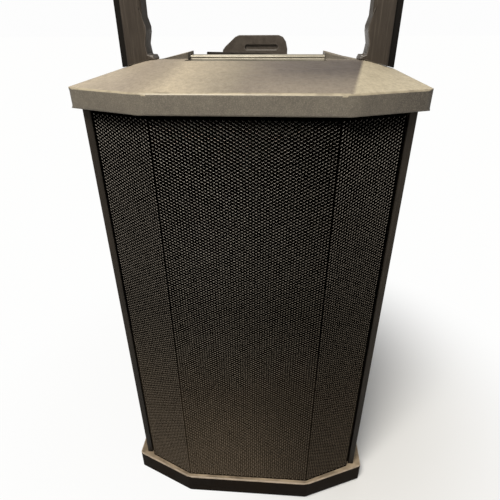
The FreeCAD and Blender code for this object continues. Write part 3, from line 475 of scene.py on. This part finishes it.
def cone_pulp():
    s = Shader("cone_pulp")
    fibres = s.noise(420.0, 6.0, 0.8, distortion=1.5)
    colour = s.ramp(fibres, [(0.3, (0.01, 0.01, 0.01)), (0.7, (0.03, 0.028, 0.026))])
    s.relief(fibres, 0.6, 0.0004)
    return s.finish(colour, 0.85, specular=0.2)


def roll_rubber():
    s = Shader("roll_rubber")
    film = s.noise(130.0, 4.0)
    colour = s.ramp(film, [(0.3, (0.006, 0.006, 0.006)), (0.7, (0.014, 0.013, 0.012))])
    s.relief(s.noise(1500.0, 2.0), 0.2, 0.0002)
    return s.finish(colour, s.steps(film, 0.3, 0.7, 0.5, 0.7), specular=0.3)


def woven(name, dark, light, threads=1600.0):
    """Impregnated cloth with its crossing threads."""
    s = Shader(name)
    warp = s.node("ShaderNodeTexWave", wave_type="BANDS", bands_direction="X")
    weft = s.node("ShaderNodeTexWave", wave_type="BANDS", bands_direction="Z")
    for wave in (warp, weft):
        wave.inputs["Scale"].default_value = threads / 10.0
        wave.inputs["Distortion"].default_value = 0.4
        s.link(s.coords, wave.inputs["Vector"])
    threads_over = s.math("MULTIPLY", warp.outputs["Fac"], weft.outputs["Fac"])
    colour = s.ramp(threads_over, [(0.1, dark), (0.7, light)])
    s.relief(threads_over, 0.4, 0.0003)
    return s.finish(colour, 0.9, specular=0.15)


def spider_cloth():
    return woven("spider_cloth", (0.3, 0.16, 0.04), (0.55, 0.34, 0.1))


def coil_copper():
    s = Shader("coil_copper")
    turns = s.node("ShaderNodeTexWave", wave_type="BANDS", bands_direction="Y")
    turns.inputs["Scale"].default_value = 500.0
    s.link(s.coords, turns.inputs["Vector"])
    colour = s.ramp(turns.outputs["Fac"], [(0.2, (0.28, 0.1, 0.04)), (0.8, (0.75, 0.33, 0.16))])
    s.relief(turns.outputs["Fac"], 0.5, 0.0002)
    return s.finish(colour, 0.3, 1.0)


def circuit():
    s = Shader("circuit")
    cells = s.node("ShaderNodeTexVoronoi", feature="DISTANCE_TO_EDGE")
    cells.inputs["Scale"].default_value = 110.0
    s.link(s.coords, cells.inputs["Vector"])
    tracks = s.steps(cells.outputs["Distance"], 0.03, 0.07)
    colour = s.mix(tracks, (0.35, 0.3, 0.12), (0.012, 0.06, 0.025))
    s.relief(tracks, 0.3, 0.0002)
    return s.finish(colour, 0.4)


def fine_plastic(name, dark, light, roughness):
    """Small hard-plastic part: smooth, with faint handling marks."""
    s = Shader(name)
    marks = s.noise(160.0, 5.0, 0.7)
    colour = s.ramp(marks, [(0.3, dark), (0.75, light)])
    s.relief(s.noise(2600.0, 2.0), 0.12, 0.0001)
    return s.finish(colour, s.steps(marks, 0.3, 0.7, roughness, roughness + 0.2), specular=0.4)


def connector_plastic():
    return fine_plastic("connector_plastic", (0.008, 0.008, 0.008), (0.02, 0.02, 0.019), 0.35)


def control_plastic():
    return fine_plastic("control_plastic", (0.02, 0.02, 0.02), (0.045, 0.044, 0.042), 0.4)


def lamp_plastic():
    s = Shader("lamp_plastic")
    depth = s.noise(700.0, 2.0)
    colour = s.ramp(depth, [(0.3, (0.02, 0.09, 0.03)), (0.7, (0.06, 0.22, 0.08))])
    return s.finish(colour, 0.2)


def wire():
    return fine_plastic("wire", (0.25, 0.012, 0.01), (0.4, 0.03, 0.02), 0.35)


MATERIALS = {
    made.__name__: made()
    for made in (
        cap_plastic, base_plastic, body_plastic, grille_steel, acoustic_cloth, rubber, bar_metal, stand_plastic,
        spigot_steel, fastener, baffle_board, brace_board, cast_frame, ferrite, motor_steel, cone_pulp,
        roll_rubber, spider_cloth, coil_copper, catch_plastic, panel_metal, fin_metal, circuit, connector_plastic,
        control_plastic, lamp_plastic, wire, cap_edge, base_edge, stand_edge, hole_edge, panel_print,
    )
}


# ---------------------------------------------------------------- mesh helpers

def new_piece(name, mesh, node, materials, body=None):
    """An object that rides on a node's body and takes the materials it is given."""
    piece = bpy.data.objects.new(name, mesh)
    bpy.context.scene.collection.objects.link(piece)
    for material in materials:
        mesh.materials.append(MATERIALS[material])
    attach(piece, body or NODES[node]["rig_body"])
    return piece


def clean_copy(node, flat=0.3, split=None):
    """The node's mesh, welded, with its flat faces made whole again; split(normal) picks those kept convex."""
    source = NODES[node].data
    bm = bmesh.new()
    places = [bm.verts.new(v.co) for v in source.vertices]
    for polygon in source.polygons:
        try:
            bm.faces.new([places[i] for i in polygon.vertices])
        except ValueError:
            pass
    bmesh.ops.remove_doubles(bm, verts=bm.verts, dist=2e-6)
    bmesh.ops.dissolve_degenerate(bm, edges=bm.edges, dist=1e-6)
    bmesh.ops.dissolve_limit(bm, angle_limit=math.radians(flat), verts=bm.verts, edges=bm.edges)
    bmesh.ops.recalc_face_normals(bm, faces=bm.faces)
    if split:
        bmesh.ops.connect_verts_concave(bm, faces=[face for face in bm.faces if split(face.normal)])
    return bm


def soft_edges(bm, name, node, materials, widths, largest, segments=3, sharp=25.0, worn_and_lit=None):
    """Turn bm into a piece whose edges are rounded; widths(edge, angle) gives each edge's width in mm."""
    weight = bm.edges.layers.float.new("bevel_weight_edge")
    for edge in bm.edges:
        if len(edge.link_faces) != 2:
            continue
        angle = math.degrees(edge.calc_face_angle(0.0))
        edge[weight] = min(1.0, widths(edge, angle) / largest)
        edge.smooth = angle < sharp or edge[weight] > 0
    for face in bm.faces:
        face.smooth = True
    mesh = bpy.data.meshes.new(name)
    bm.to_mesh(mesh)
    bm.free()
    piece = new_piece(name, mesh, node, materials)
    bevel = piece.modifiers.new("round", "BEVEL")
    bevel.limit_method = "WEIGHT"
    bevel.width = largest * MM
    bevel.segments = segments
    bevel.use_clamp_overlap = False
    bevel.harden_normals = False
    if worn_and_lit:
        bevel.material = worn_and_lit
    normals = piece.modifiers.new("even", "WEIGHTED_NORMAL")
    normals.keep_sharp = True
    return piece


def softened(node, width, name=None, materials=None, sharp=25.0, segments=2, worn_and_lit=None, rule=None, flat=0.3,
             split=None):
    """A copy of a CAD node with rounded edges, shown in its place."""
    rule = rule or (lambda edge, angle: width if angle > sharp else 0.0)
    piece = soft_edges(
        clean_copy(node, flat, split), name or node + "_finished", node, materials or [SLOT[node]], rule, width,
        segments, sharp, worn_and_lit,
    )
    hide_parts(node)
    return piece


def paint_where(piece, rule, index):
    """Settle a piece's modifiers into its mesh and give the faces that match the rule another material."""
    bpy.context.view_layer.update()
    graph = bpy.context.evaluated_depsgraph_get()
    settled = bpy.data.meshes.new_from_object(
        piece.evaluated_get(graph), preserve_all_data_layers=True, depsgraph=graph,
    )
    piece.modifiers.clear()
    piece.data = settled
    for polygon in settled.polygons:
        if rule(polygon.center / MM, polygon.normal):
            polygon.material_index = index


def middle(edge):
    """An edge's middle, in millimetres."""
    return (edge.verts[0].co + edge.verts[1].co) / 2 / MM


def block(bm, x0, x1, y0, y1, z0, z1):
    """Closed box, in millimetres."""
    corners = [bm.verts.new((x * MM, y * MM, z * MM)) for x in (x0, x1) for y in (y0, y1) for z in (z0, z1)]
    for a, b, c, d in ((0, 1, 3, 2), (4, 6, 7, 5), (0, 4, 5, 1), (2, 3, 7, 6), (0, 2, 6, 4), (1, 5, 7, 3)):
        bm.faces.new([corners[i] for i in (a, b, c, d)])


def bar_slab(bm, x, z, angle, length, width, y0, y1):
    """Thin slab on the panel, length along angle (degrees from +X towards +Z), centred on x, z."""
    c, t = math.cos(math.radians(angle)), math.sin(math.radians(angle))
    rings = []
    for y in (y0, y1):
        ring = []
        for a, b in ((-1, -1), (1, -1), (1, 1), (-1, 1)):
            u, v = a * length / 2, b * width / 2
            ring.append(bm.verts.new(((x + u * c - v * t) * MM, y * MM, (z + u * t + v * c) * MM)))
        rings.append(ring)
    bm.faces.new(rings[0])
    bm.faces.new(rings[1][::-1])
    for i in range(4):
        j = (i + 1) % 4
        bm.faces.new((rings[0][j], rings[0][i], rings[1][i], rings[1][j]))


def cross_screw(bm, place, out, radius, height, shank_radius=0.0, shank=0.0):
    """Pan-head screw with a cross recess; out is the direction its head faces."""
    out = Vector(out)
    side = out.orthogonal().normalized()
    up = out.cross(side)
    long_arm, half = radius * 0.6, radius * 0.6 * math.tan(math.radians(15))
    corners = []
    for quarter in range(4):
        turn = math.pi / 2 * quarter
        for u, v in ((long_arm, -half), (long_arm, 0.0), (long_arm, half), ((long_arm + half) / 2, half),
                     (half, half), (half, (long_arm + half) / 2)):
            corners.append((u * math.cos(turn) - v * math.sin(turn), u * math.sin(turn) + v * math.cos(turn)))
    circle = [(math.cos(math.atan2(v, u)), math.sin(math.atan2(v, u))) for u, v in corners]
    origin = Vector(place)

    def ring(points, scale, depth):
        return [bm.verts.new((origin + side * u * scale + up * v * scale + out * depth) * MM) for u, v in points]

    rings = []
    if shank:
        rings += [ring(circle, shank_radius, -shank), ring(circle, shank_radius, 0.0)]
    rings += [
        ring(circle, radius, 0.0), ring(circle, radius, height * 0.45), ring(circle, radius * 0.93, height * 0.75),
        ring(circle, radius * 0.78, height * 0.95), ring(circle, radius * 0.68, height),
        ring(corners, 1.0, height), ring(corners, 0.72, height * 0.35),
    ]
    bm.faces.new(rings[0][::-1])
    bm.faces.new(rings[-1])
    for low, high in zip(rings, rings[1:]):
        for i in range(len(low)):
            j = (i + 1) % len(low)
            bm.faces.new((low[i], low[j], high[j], high[i]))


# ---------------------------------------------------------------- cap, base, body

def cap_plan_distance(x, y):
    """Millimetres inside the cap's front, facet or side edge."""
    x = abs(x)
    run = math.hypot(CAP_SIDE_X - CAP_FACET_HALF, CAP_CORNER_Y - CAP_FRONT_Y)
    facet = ((CAP_CORNER_Y - CAP_FRONT_Y) * (CAP_SIDE_X - x) + (CAP_SIDE_X - CAP_FACET_HALF) * (y - CAP_CORNER_Y))
    return min(y - CAP_FRONT_Y, CAP_SIDE_X - x, facet / run)


def crease_x(y):
    """Half the distance between the cap's two creases at depth y."""
    along = min(1.0, (y - CAP_FRONT_Y) / (CAP_RIDGE_Y - CAP_FRONT_Y))
    return CAP_FACET_HALF + (CAP_RIDGE_X - CAP_FACET_HALF) * along


def stands_up(edge):
    return abs(edge.verts[0].co.z - edge.verts[1].co.z) > 0.01


def top_cap():
    """Cap with its roundings and a rim showing wear and a painted highlight."""
    def width(edge, angle):
        x, y, z = middle(edge)
        outer = cap_plan_distance(x, y) < 1.0 or y > CAP_BACK_Y - 2 or abs(x) + y > CAP_BACK_CORNER - 2
        if outer and z > CAP_TOP_EDGE_Z and angle > 40:
            return CAP_TOP_ROUND
        if outer and z < CAP_UNDER_Z + 1 and angle > 40:
            return CAP_UNDER_ROUND
        if outer and 18 < angle <= 75 and stands_up(edge):
            return CAP_CORNER_ROUND
        if abs(abs(x) - crease_x(y)) < 0.5 and z > CAP_TOP_EDGE_Z + 1 and 1.0 < angle < 20:
            return CAP_CREASE_ROUND
        if angle > 25 and z > CAP_TOP_EDGE_Z + 4:
            return CAP_DETAIL_ROUND
        return 0.0

    # Rim faces take the edge material: wear and a painted highlight.
    def rim(place, normal):
        in_rim = cap_plan_distance(place.x, place.y) < 3.0 and place.z > CAP_TOP_EDGE_Z - 2
        return in_rim and 0.2 < normal.z < 0.97

    piece = softened(
        "top_cap", CAP_CORNER_ROUND, materials=["cap_plastic", "cap_edge"], segments=4, rule=width, flat=0.2,
    )
    paint_where(piece, rim, 1)


def base_cap():
    """Base with its roundings and a rim showing wear and a painted highlight."""
    def width(edge, angle):
        z = middle(edge).z
        if angle < 18:
            return 0.0
        if stands_up(edge):
            return 4.0
        return 2.0 if z > 20 else 1.2

    # Rim faces take the edge material: wear and a painted highlight.
    def rim(place, normal):
        return 0.2 < normal.z < 0.97 and place.z > 35

    piece = softened("base_cap", 4.0, materials=["base_plastic", "base_edge"], segments=3, rule=width)
    paint_where(piece, rim, 1)


# ---------------------------------------------------------------- grille

def hole_ring(u, v):
    """Corners of one six-sided hole."""
    return [
        (u + HOLE_R * math.cos(math.pi / 3 * i), v + HOLE_R * math.sin(math.pi / 3 * i)) for i in range(6)
    ]


def seam(v_mid, column_count, column_step, first_column, u0, u1, first_offset):
    """Stepped line from u0 to u1 that runs between the holes near height v_mid."""
    line = []
    for i in range(column_count):
        column = first_column + i
        left = max(u0, (column - 0.5) * column_step)
        right = min(u1, (column + 0.5) * column_step)
        level = v_mid + (HOLE_PITCH / 2 if (column + first_offset) % 2 else 0.0)
        line += [(left, level), (right, level)]
    return line


def perforated(name, u0, u1, v0, v1, place, plain, start_u=0.0, top_seam=None, bottom_seam=None):
    """One panel of the grille: flat coordinates u across and v up; place(u, v, depth) gives the point.

    plain holds how far hole centres keep from the panel's left and right ends; a column stands at start_u."""
    step = HOLE_PITCH * math.sqrt(3) / 2
    low = bottom_seam or [(u0, v0), (u1, v0)]
    high = top_seam or [(u0, v1), (u1, v1)]
    outline = low + high[::-1]
    points = [Vector(p) for p in outline]
    faces = [list(range(len(outline)))]
    rings = []
    for column in range(math.ceil((u0 - start_u) / step), math.floor((u1 - start_u) / step) + 1):
        u = start_u + column * step
        if u - u0 < plain[0] or u1 - u < plain[1]:
            continue
        shift = HOLE_PITCH / 2 if column % 2 else 0.0
        for row in range(math.ceil((v0 - shift) / HOLE_PITCH), math.floor((v1 - shift) / HOLE_PITCH) + 1):
            v = row * HOLE_PITCH + shift
            below = PLAIN_EDGE + HOLE_R if not bottom_seam else -99.0
            above = PLAIN_EDGE + HOLE_R if not top_seam else -99.0
            if v - v0 < below or v1 - v < above:
                continue
            if bottom_seam and v < seam_level(bottom_seam, u):
                continue
            if top_seam and v > seam_level(top_seam, u):
                continue
            start = len(points)
            points += [Vector(p) for p in hole_ring(u, v)]
            rings.append(list(range(start, start + 6)))
    faces += rings
    flat, _, triangles, origins, _, _ = delaunay_2d_cdt(points, [], faces, 1, 1e-5)
    index_of = {}
    for new, old_list in enumerate(origins):
        for old in old_list:
            index_of[old] = new
    hole_of = {}
    for number, ring in enumerate(rings):
        for old in ring:
            hole_of[index_of[old]] = number
    count = len(flat)
    co = [place(p.x, p.y, 0.0) for p in flat] + [place(p.x, p.y, GRILLE_SHEET) for p in flat]
    polygons, kinds = [], []
    for triangle in triangles:
        owners = {hole_of.get(i, -1 - i) for i in triangle}
        if len(owners) == 1:
            continue
        polygons.append(tuple(triangle))
        kinds.append(0)
        polygons.append(tuple(count + i for i in reversed(triangle)))
        kinds.append(0)
    walls = [[index_of[i] for i in ring][::-1] for ring in rings]
    walls.append([index_of[i] for i in range(len(outline))])
    for number, ring in enumerate(walls):
        centre = sum((flat[i].y for i in ring), 0.0) / len(ring)
        for one, two in zip(ring, ring[1:] + ring[:1]):
            polygons.append((two, one, count + one, count + two))
            # Lower hole walls take the hole-edge material with its painted highlight.
            below = (flat[one].y + flat[two].y) / 2 < centre - HOLE_R * 0.3
            kinds.append(1 if number < len(rings) and below else 0)
    mesh = bpy.data.meshes.new(name)
    mesh.from_pydata(co, [], polygons)
    mesh.update()
    spread_flat(mesh, [(p.x, p.y, depth) for depth in (0.0, GRILLE_SHEET) for p in flat], kinds, u0, u1, v0, v1)
    piece = new_piece(name, mesh, "front_grille", ["grille_steel", "hole_edge"])
    mesh.polygons.foreach_set("material_index", kinds)
    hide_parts("front_grille")
    return piece


def spread_flat(mesh, places, kinds, u0, u1, v0, v1):
    """Lay the sheet out flat for baking: its faces in the lower half, the lit hole walls in the upper."""
    layer = mesh.uv_layers.new(name="OFBake")
    width, height = u1 - u0 + 8.0, v1 - v0 + 12.0
    for polygon, kind in zip(mesh.polygons, kinds):
        for loop in polygon.loop_indices:
            u, v, depth = places[mesh.loops[loop].vertex_index]
            lift = 0.5 if kind else 0.0
            along = (v - v0 + 4.0 + (depth if kind else 0.0)) / height
            layer.data[loop].uv = ((u - u0 + 4.0) / width, lift + 0.5 * along)


def seam_level(line, u):
    """Height of a stepped seam at u."""
    for (a, level), (b, _) in zip(line[::2], line[1::2]):
        if a - 1e-6 <= u <= b + 1e-6:
            return level
    return line[0][1]


def front_grille():
    """Folded perforated sheet: a middle in two halves, two facets and two folded returns."""
    side_run = math.hypot(GRILLE_EDGE_X - GRILLE_FOLD_X, GRILLE_EDGE_Y - GRILLE_FACE_Y)
    lean = ((GRILLE_EDGE_X - GRILLE_FOLD_X) / side_run, (GRILLE_EDGE_Y - GRILLE_FACE_Y) / side_run)
    z0, z1 = GRILLE_Z

    def centre(u, v, depth):
        return (u * MM, (GRILLE_FACE_Y + depth) * MM, v * MM)

    def wing(side):
        def place(u, v, depth):
            run = abs(u) - GRILLE_FOLD_X
            x = GRILLE_FOLD_X + run * lean[0] - depth * lean[1]
            y = GRILLE_FACE_Y + run * lean[1] + depth * lean[0]
            return (side * x * MM, y * MM, v * MM)
        return place

    step = HOLE_PITCH * math.sqrt(3) / 2
    first = math.floor(-GRILLE_FOLD_X / step + 0.5)
    count = -2 * first + 1
    level = HOLE_PITCH * round((z0 + z1) / 2 / HOLE_PITCH) + HOLE_PITCH / 2
    line = seam(level, count, step, first, -GRILLE_FOLD_X, GRILLE_FOLD_X, 0)
    fold = GRILLE_FOLD_X
    edge = GRILLE_FOLD_X + side_run
    folds = (FOLD_PLAIN, FOLD_PLAIN)
    outer, first_u = PLAIN_EDGE + HOLE_R, fold + FOLD_PLAIN + 0.01
    perforated("grille_centre_lower", -fold, fold, z0, level, centre, folds, top_seam=line)
    perforated("grille_centre_upper", -fold, fold, level, z1, centre, folds, bottom_seam=line)
    perforated("grille_left_facet", -edge, -fold, z0, z1, wing(-1), (outer, FOLD_PLAIN), -first_u)
    perforated("grille_right_facet", fold, edge, z0, z1, wing(1), (FOLD_PLAIN, outer), first_u)
    for side, name in ((-1, "grille_left_return"), (1, "grille_right_return")):
        x0, x1 = sorted((side * GRILLE_EDGE_X, side * (GRILLE_EDGE_X - GRILLE_SHEET)))
        bm = bmesh.new()
        block(bm, x0, x1, GRILLE_EDGE_Y + 0.3, GRILLE_EDGE_Y + GRILLE_RETURN, z0, z1)
        piece = soft_edges(bm, name, "front_grille", ["grille_steel"], lambda edge, angle: 0.3, 0.3, 2)
        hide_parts("front_grille")


# ---------------------------------------------------------------- small outside parts

def case_screws():
    """The panel's and the grip cups' screws, with cut recesses."""
    bm = bmesh.new()
    for x in (-PANEL_SCREW_X, PANEL_SCREW_X):
        for z in PANEL_SCREW_Z:
            cross_screw(bm, (x, PANEL_FACE_Y, z), (0, 1, 0), 4.0, 2.2, 2.0, 11.0)
    for side in (-1, 1):
        for y in CUP_SCREW_Y:
            for z in CUP_SCREW_Z:
                cross_screw(bm, (side * CUP_RIM_X, y, z), (side, 0, 0), 3.6, 2.0)
    bmesh.ops.recalc_face_normals(bm, faces=bm.faces)
    piece = soft_edges(bm, "case_screws_cut", "case_screws", ["fastener"], lambda edge, angle: 0.0, 0.1, 1, 30.0)
    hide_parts("case_screws")


def panel_marks():
    """Printed dial marks, group lines and simple signs; no lettering."""
    bm = bmesh.new()
    y0, y1 = PANEL_FACE_Y - 0.1, PANEL_FACE_Y + 0.12

    def line(x, z, angle, length, width=0.6):
        bar_slab(bm, x, z, angle, length, width, y0, y1)

    knob_x, knob_z = KNOB
    for i in range(11):
        angle = 225 - 27 * i
        c, t = math.cos(math.radians(angle)), math.sin(math.radians(angle))
        reach = 3.6 if i in (0, 5, 10) else 2.2
        line(knob_x + c * (DIAL_R + reach / 2), knob_z + t * (DIAL_R + reach / 2), angle, reach, 0.7)
    for z in (588.0, 528.0, 476.0):
        line(51.5, z, 0, 92.0, 0.7)
    for x in (5.5, 97.5):
        line(x, 532.0, 90, 112.7, 0.7)
    for z in (565.0, 505.0):
        line(51.5, z, 90, 20.0, 0.5)
    for x, z in ((25.0, 584.0), (78.0, 584.0)):
        line(x - 1.2, z, 45, 3.6)
        line(x + 1.2, z, -45, 3.6)
    for x, z in ((25.0, 485.0), (78.0, 485.0)):
        line(x - 1.2, z, -45, 3.6)
        line(x + 1.2, z, 45, 3.6)
    for z in (570.0, 540.0):
        line(-95.0, z - 8.5, 0, 7.0)
        line(-106.0, z, 90, 7.0)
        line(-108.5, z, 0, 4.4)
    line(-75.0, 592.0, 0, 72.0, 0.6)
    line(8.0, 469.0, 0, 20.0, 0.7)
    line(8.0, 466.5, 90, 4.5, 0.9)
    line(68.0, 469.0, 0, 44.0, 0.7)
    line(0.0, 419.0, 0, 212.0, 0.7)
    soft_edges(bm, "panel_marks", "rear_panel", ["panel_print"], lambda edge, angle: 0.0, 0.1, 1)


def knob_pointer():
    """Raised line on the level knob's face."""
    bm = bmesh.new()
    knob_x, knob_z = KNOB
    block(bm, knob_x - 0.65, knob_x + 0.65, PANEL_FACE_Y + 16.0, PANEL_FACE_Y + 16.6, knob_z + 4.2, knob_z + 14.6)
    soft_edges(bm, "knob_pointer", "level_knob", ["panel_print"], lambda edge, angle: 0.0, 0.1, 1)


def build_pieces():
    """Every visual piece, each shown in place of its CAD node."""
    top_cap()
    base_cap()
    front_grille()
    softened("cabinet_shell", 1.2, split=lambda normal: abs(normal.z) > 0.9)
    softened("handle_bar", 0.6)
    softened("left_handle_cup", 1.5)
    softened("right_handle_cup", 1.5)
    # Bevel faces of the catch and legs take the edge material: wear and a painted highlight.
    softened("stand_catch", 1.0, materials=["catch_plastic", "stand_edge"], worn_and_lit=1)
    for side in ("left", "right"):
        softened(
            side + "_leg", 1.2, materials=["stand_plastic", "stand_edge"], worn_and_lit=1,
            split=lambda normal: True,
        )
        softened(side + "_leg_strip", 0.8)
    softened("stand_crossbar", 1.5)
    softened("rear_panel", 0.5)
    for node, width in (
        ("hand_pocket", 1.0), ("heatsink", 0.4), ("level_knob", 0.5), ("rocker_bezel", 0.4),
        ("power_rocker", 0.5), ("power_inlet", 0.4), ("line_inputs", 0.35), ("line_outputs", 0.35),
        ("polarity_button", 0.5), ("filter_button", 0.5), ("speaker_spigot", 0.5), ("stand_bolts", 0.5),
        ("rubber_feet", 0.5),
    ):
        softened(node, width)
    case_screws()
    panel_marks()
    knob_pointer()


def paint_carried_nodes():
    """Give every CAD node that still shows its procedural material."""
    replaced = {n for n, o in NODES.items() if o.hide_render}
    for name, obj in NODES.items():
        if name in replaced:
            continue
        if not obj.material_slots:
            obj.data.materials.append(None)
        for place in obj.material_slots:
            place.material = MATERIALS[SLOT[name]]


def add_light(name, kind, place, target, energy, size, colour):
    data = bpy.data.lights.new(name, kind)
    data.energy = energy
    data.color = colour
    if kind == "AREA":
        data.shape = "RECTANGLE"
        data.size, data.size_y = size
    lamp = bpy.data.objects.new(name, data)
    bpy.context.scene.collection.objects.link(lamp)
    lamp.location = place
    lamp.visible_camera = False
    lamp.rotation_euler = (Vector(target) - Vector(place)).to_track_quat("-Z", "Y").to_euler()
    return lamp


def studio():
    """Pale floor with a painted soft shadow right of the object, white surroundings and soft lights."""
    scene = bpy.context.scene
    scene.view_settings.view_transform = "Standard"
    floor_mesh = bpy.data.meshes.new("studio_floor")
    r = FLOOR_REACH
    corners = [(-r, -r, 0), (r, -r, 0), (r, r, 0), (-r, r, 0)]
    floor_mesh.from_pydata(corners, [], [(0, 1, 2, 3)])
    floor = bpy.data.objects.new("studio_floor", floor_mesh)
    scene.collection.objects.link(floor)
    s = Shader("studio_floor")
    s.finish(s.ramp(s.noise(3.0), [(0.3, (0.80, 0.80, 0.80)), (0.7, (0.82, 0.82, 0.82))]), 0.9, specular=0.1)
    spread = s.node("ShaderNodeVectorMath", operation="LENGTH")
    s.link(s.coords, spread.inputs[0])
    # Painted shadow on the floor: the floor glows less to the right, near the object.
    shaded_side = s.steps(s.axis("X"), -0.1, 0.2, 0.12, 0.95)
    near = s.math("MULTIPLY", shaded_side, s.steps(spread.outputs["Value"], 0.25, 0.7, 1.0, 0.0))
    far = s.math("SUBTRACT", 1.0, near)
    lit = s.node("ShaderNodeEmission")
    lit.inputs["Color"].default_value = (0.99, 0.99, 0.985, 1.0)
    blend = s.node("ShaderNodeMixShader")
    s.link(s.math("MULTIPLY", far, s.node("ShaderNodeLightPath").outputs["Is Camera Ray"]), blend.inputs["Fac"])
    s.link(s.bsdf.outputs["BSDF"], blend.inputs[1])
    s.link(lit.outputs["Emission"], blend.inputs[2])
    s.link(blend.outputs["Shader"], s.tree.nodes["Material Output"].inputs["Surface"])
    floor_mesh.materials.append(s.material)

    world = bpy.data.worlds.new("studio")
    scene.world = world
    world.use_nodes = True
    tree = world.node_tree
    background = tree.nodes["Background"]
    background.inputs["Color"].default_value = (1.0, 0.99, 0.97, 1.0)
    background.inputs["Strength"].default_value = 0.35
    seen = tree.nodes.new("ShaderNodeBackground")
    seen.inputs["Color"].default_value = (0.98, 0.98, 0.98, 1.0)
    seen.inputs["Strength"].default_value = 1.0
    path = tree.nodes.new("ShaderNodeLightPath")
    choose = tree.nodes.new("ShaderNodeMixShader")
    tree.links.new(path.outputs["Is Camera Ray"], choose.inputs["Fac"])
    tree.links.new(background.outputs[0], choose.inputs[1])
    tree.links.new(seen.outputs[0], choose.inputs[2])
    tree.links.new(choose.outputs[0], tree.nodes["World Output"].inputs["Surface"])

    add_light("overhead", "AREA", (-0.45, -1.15, 2.5), (0.0, -0.1, 0.6), 58.0, (0.7, 0.7), (1.0, 0.96, 0.88))
    add_light("rear_fill", "AREA", (-0.5, 3.0, 0.42), (0.0, 0.2, 0.4), 11.0, (1.6, 0.5), (1.0, 0.98, 0.95))
    add_light("front_fill", "AREA", (0.6, -2.6, 1.6), (0.0, 0.0, 0.4), 4.0, (1.6, 1.6), (1.0, 0.97, 0.92))


def camera():
    data = bpy.data.cameras.new("camera")
    data.sensor_width = 36.0
    data.lens = CAMERA_LENS
    data.clip_start = 0.01
    data.clip_end = 100.0
    cam = bpy.data.objects.new("camera", data)
    bpy.context.scene.collection.objects.link(cam)
    cam.location = CAMERA_PLACE
    cam.rotation_euler = CAMERA_TURN
    bpy.context.scene.camera = cam


camera()
studio()
build_pieces()
paint_carried_nodes()
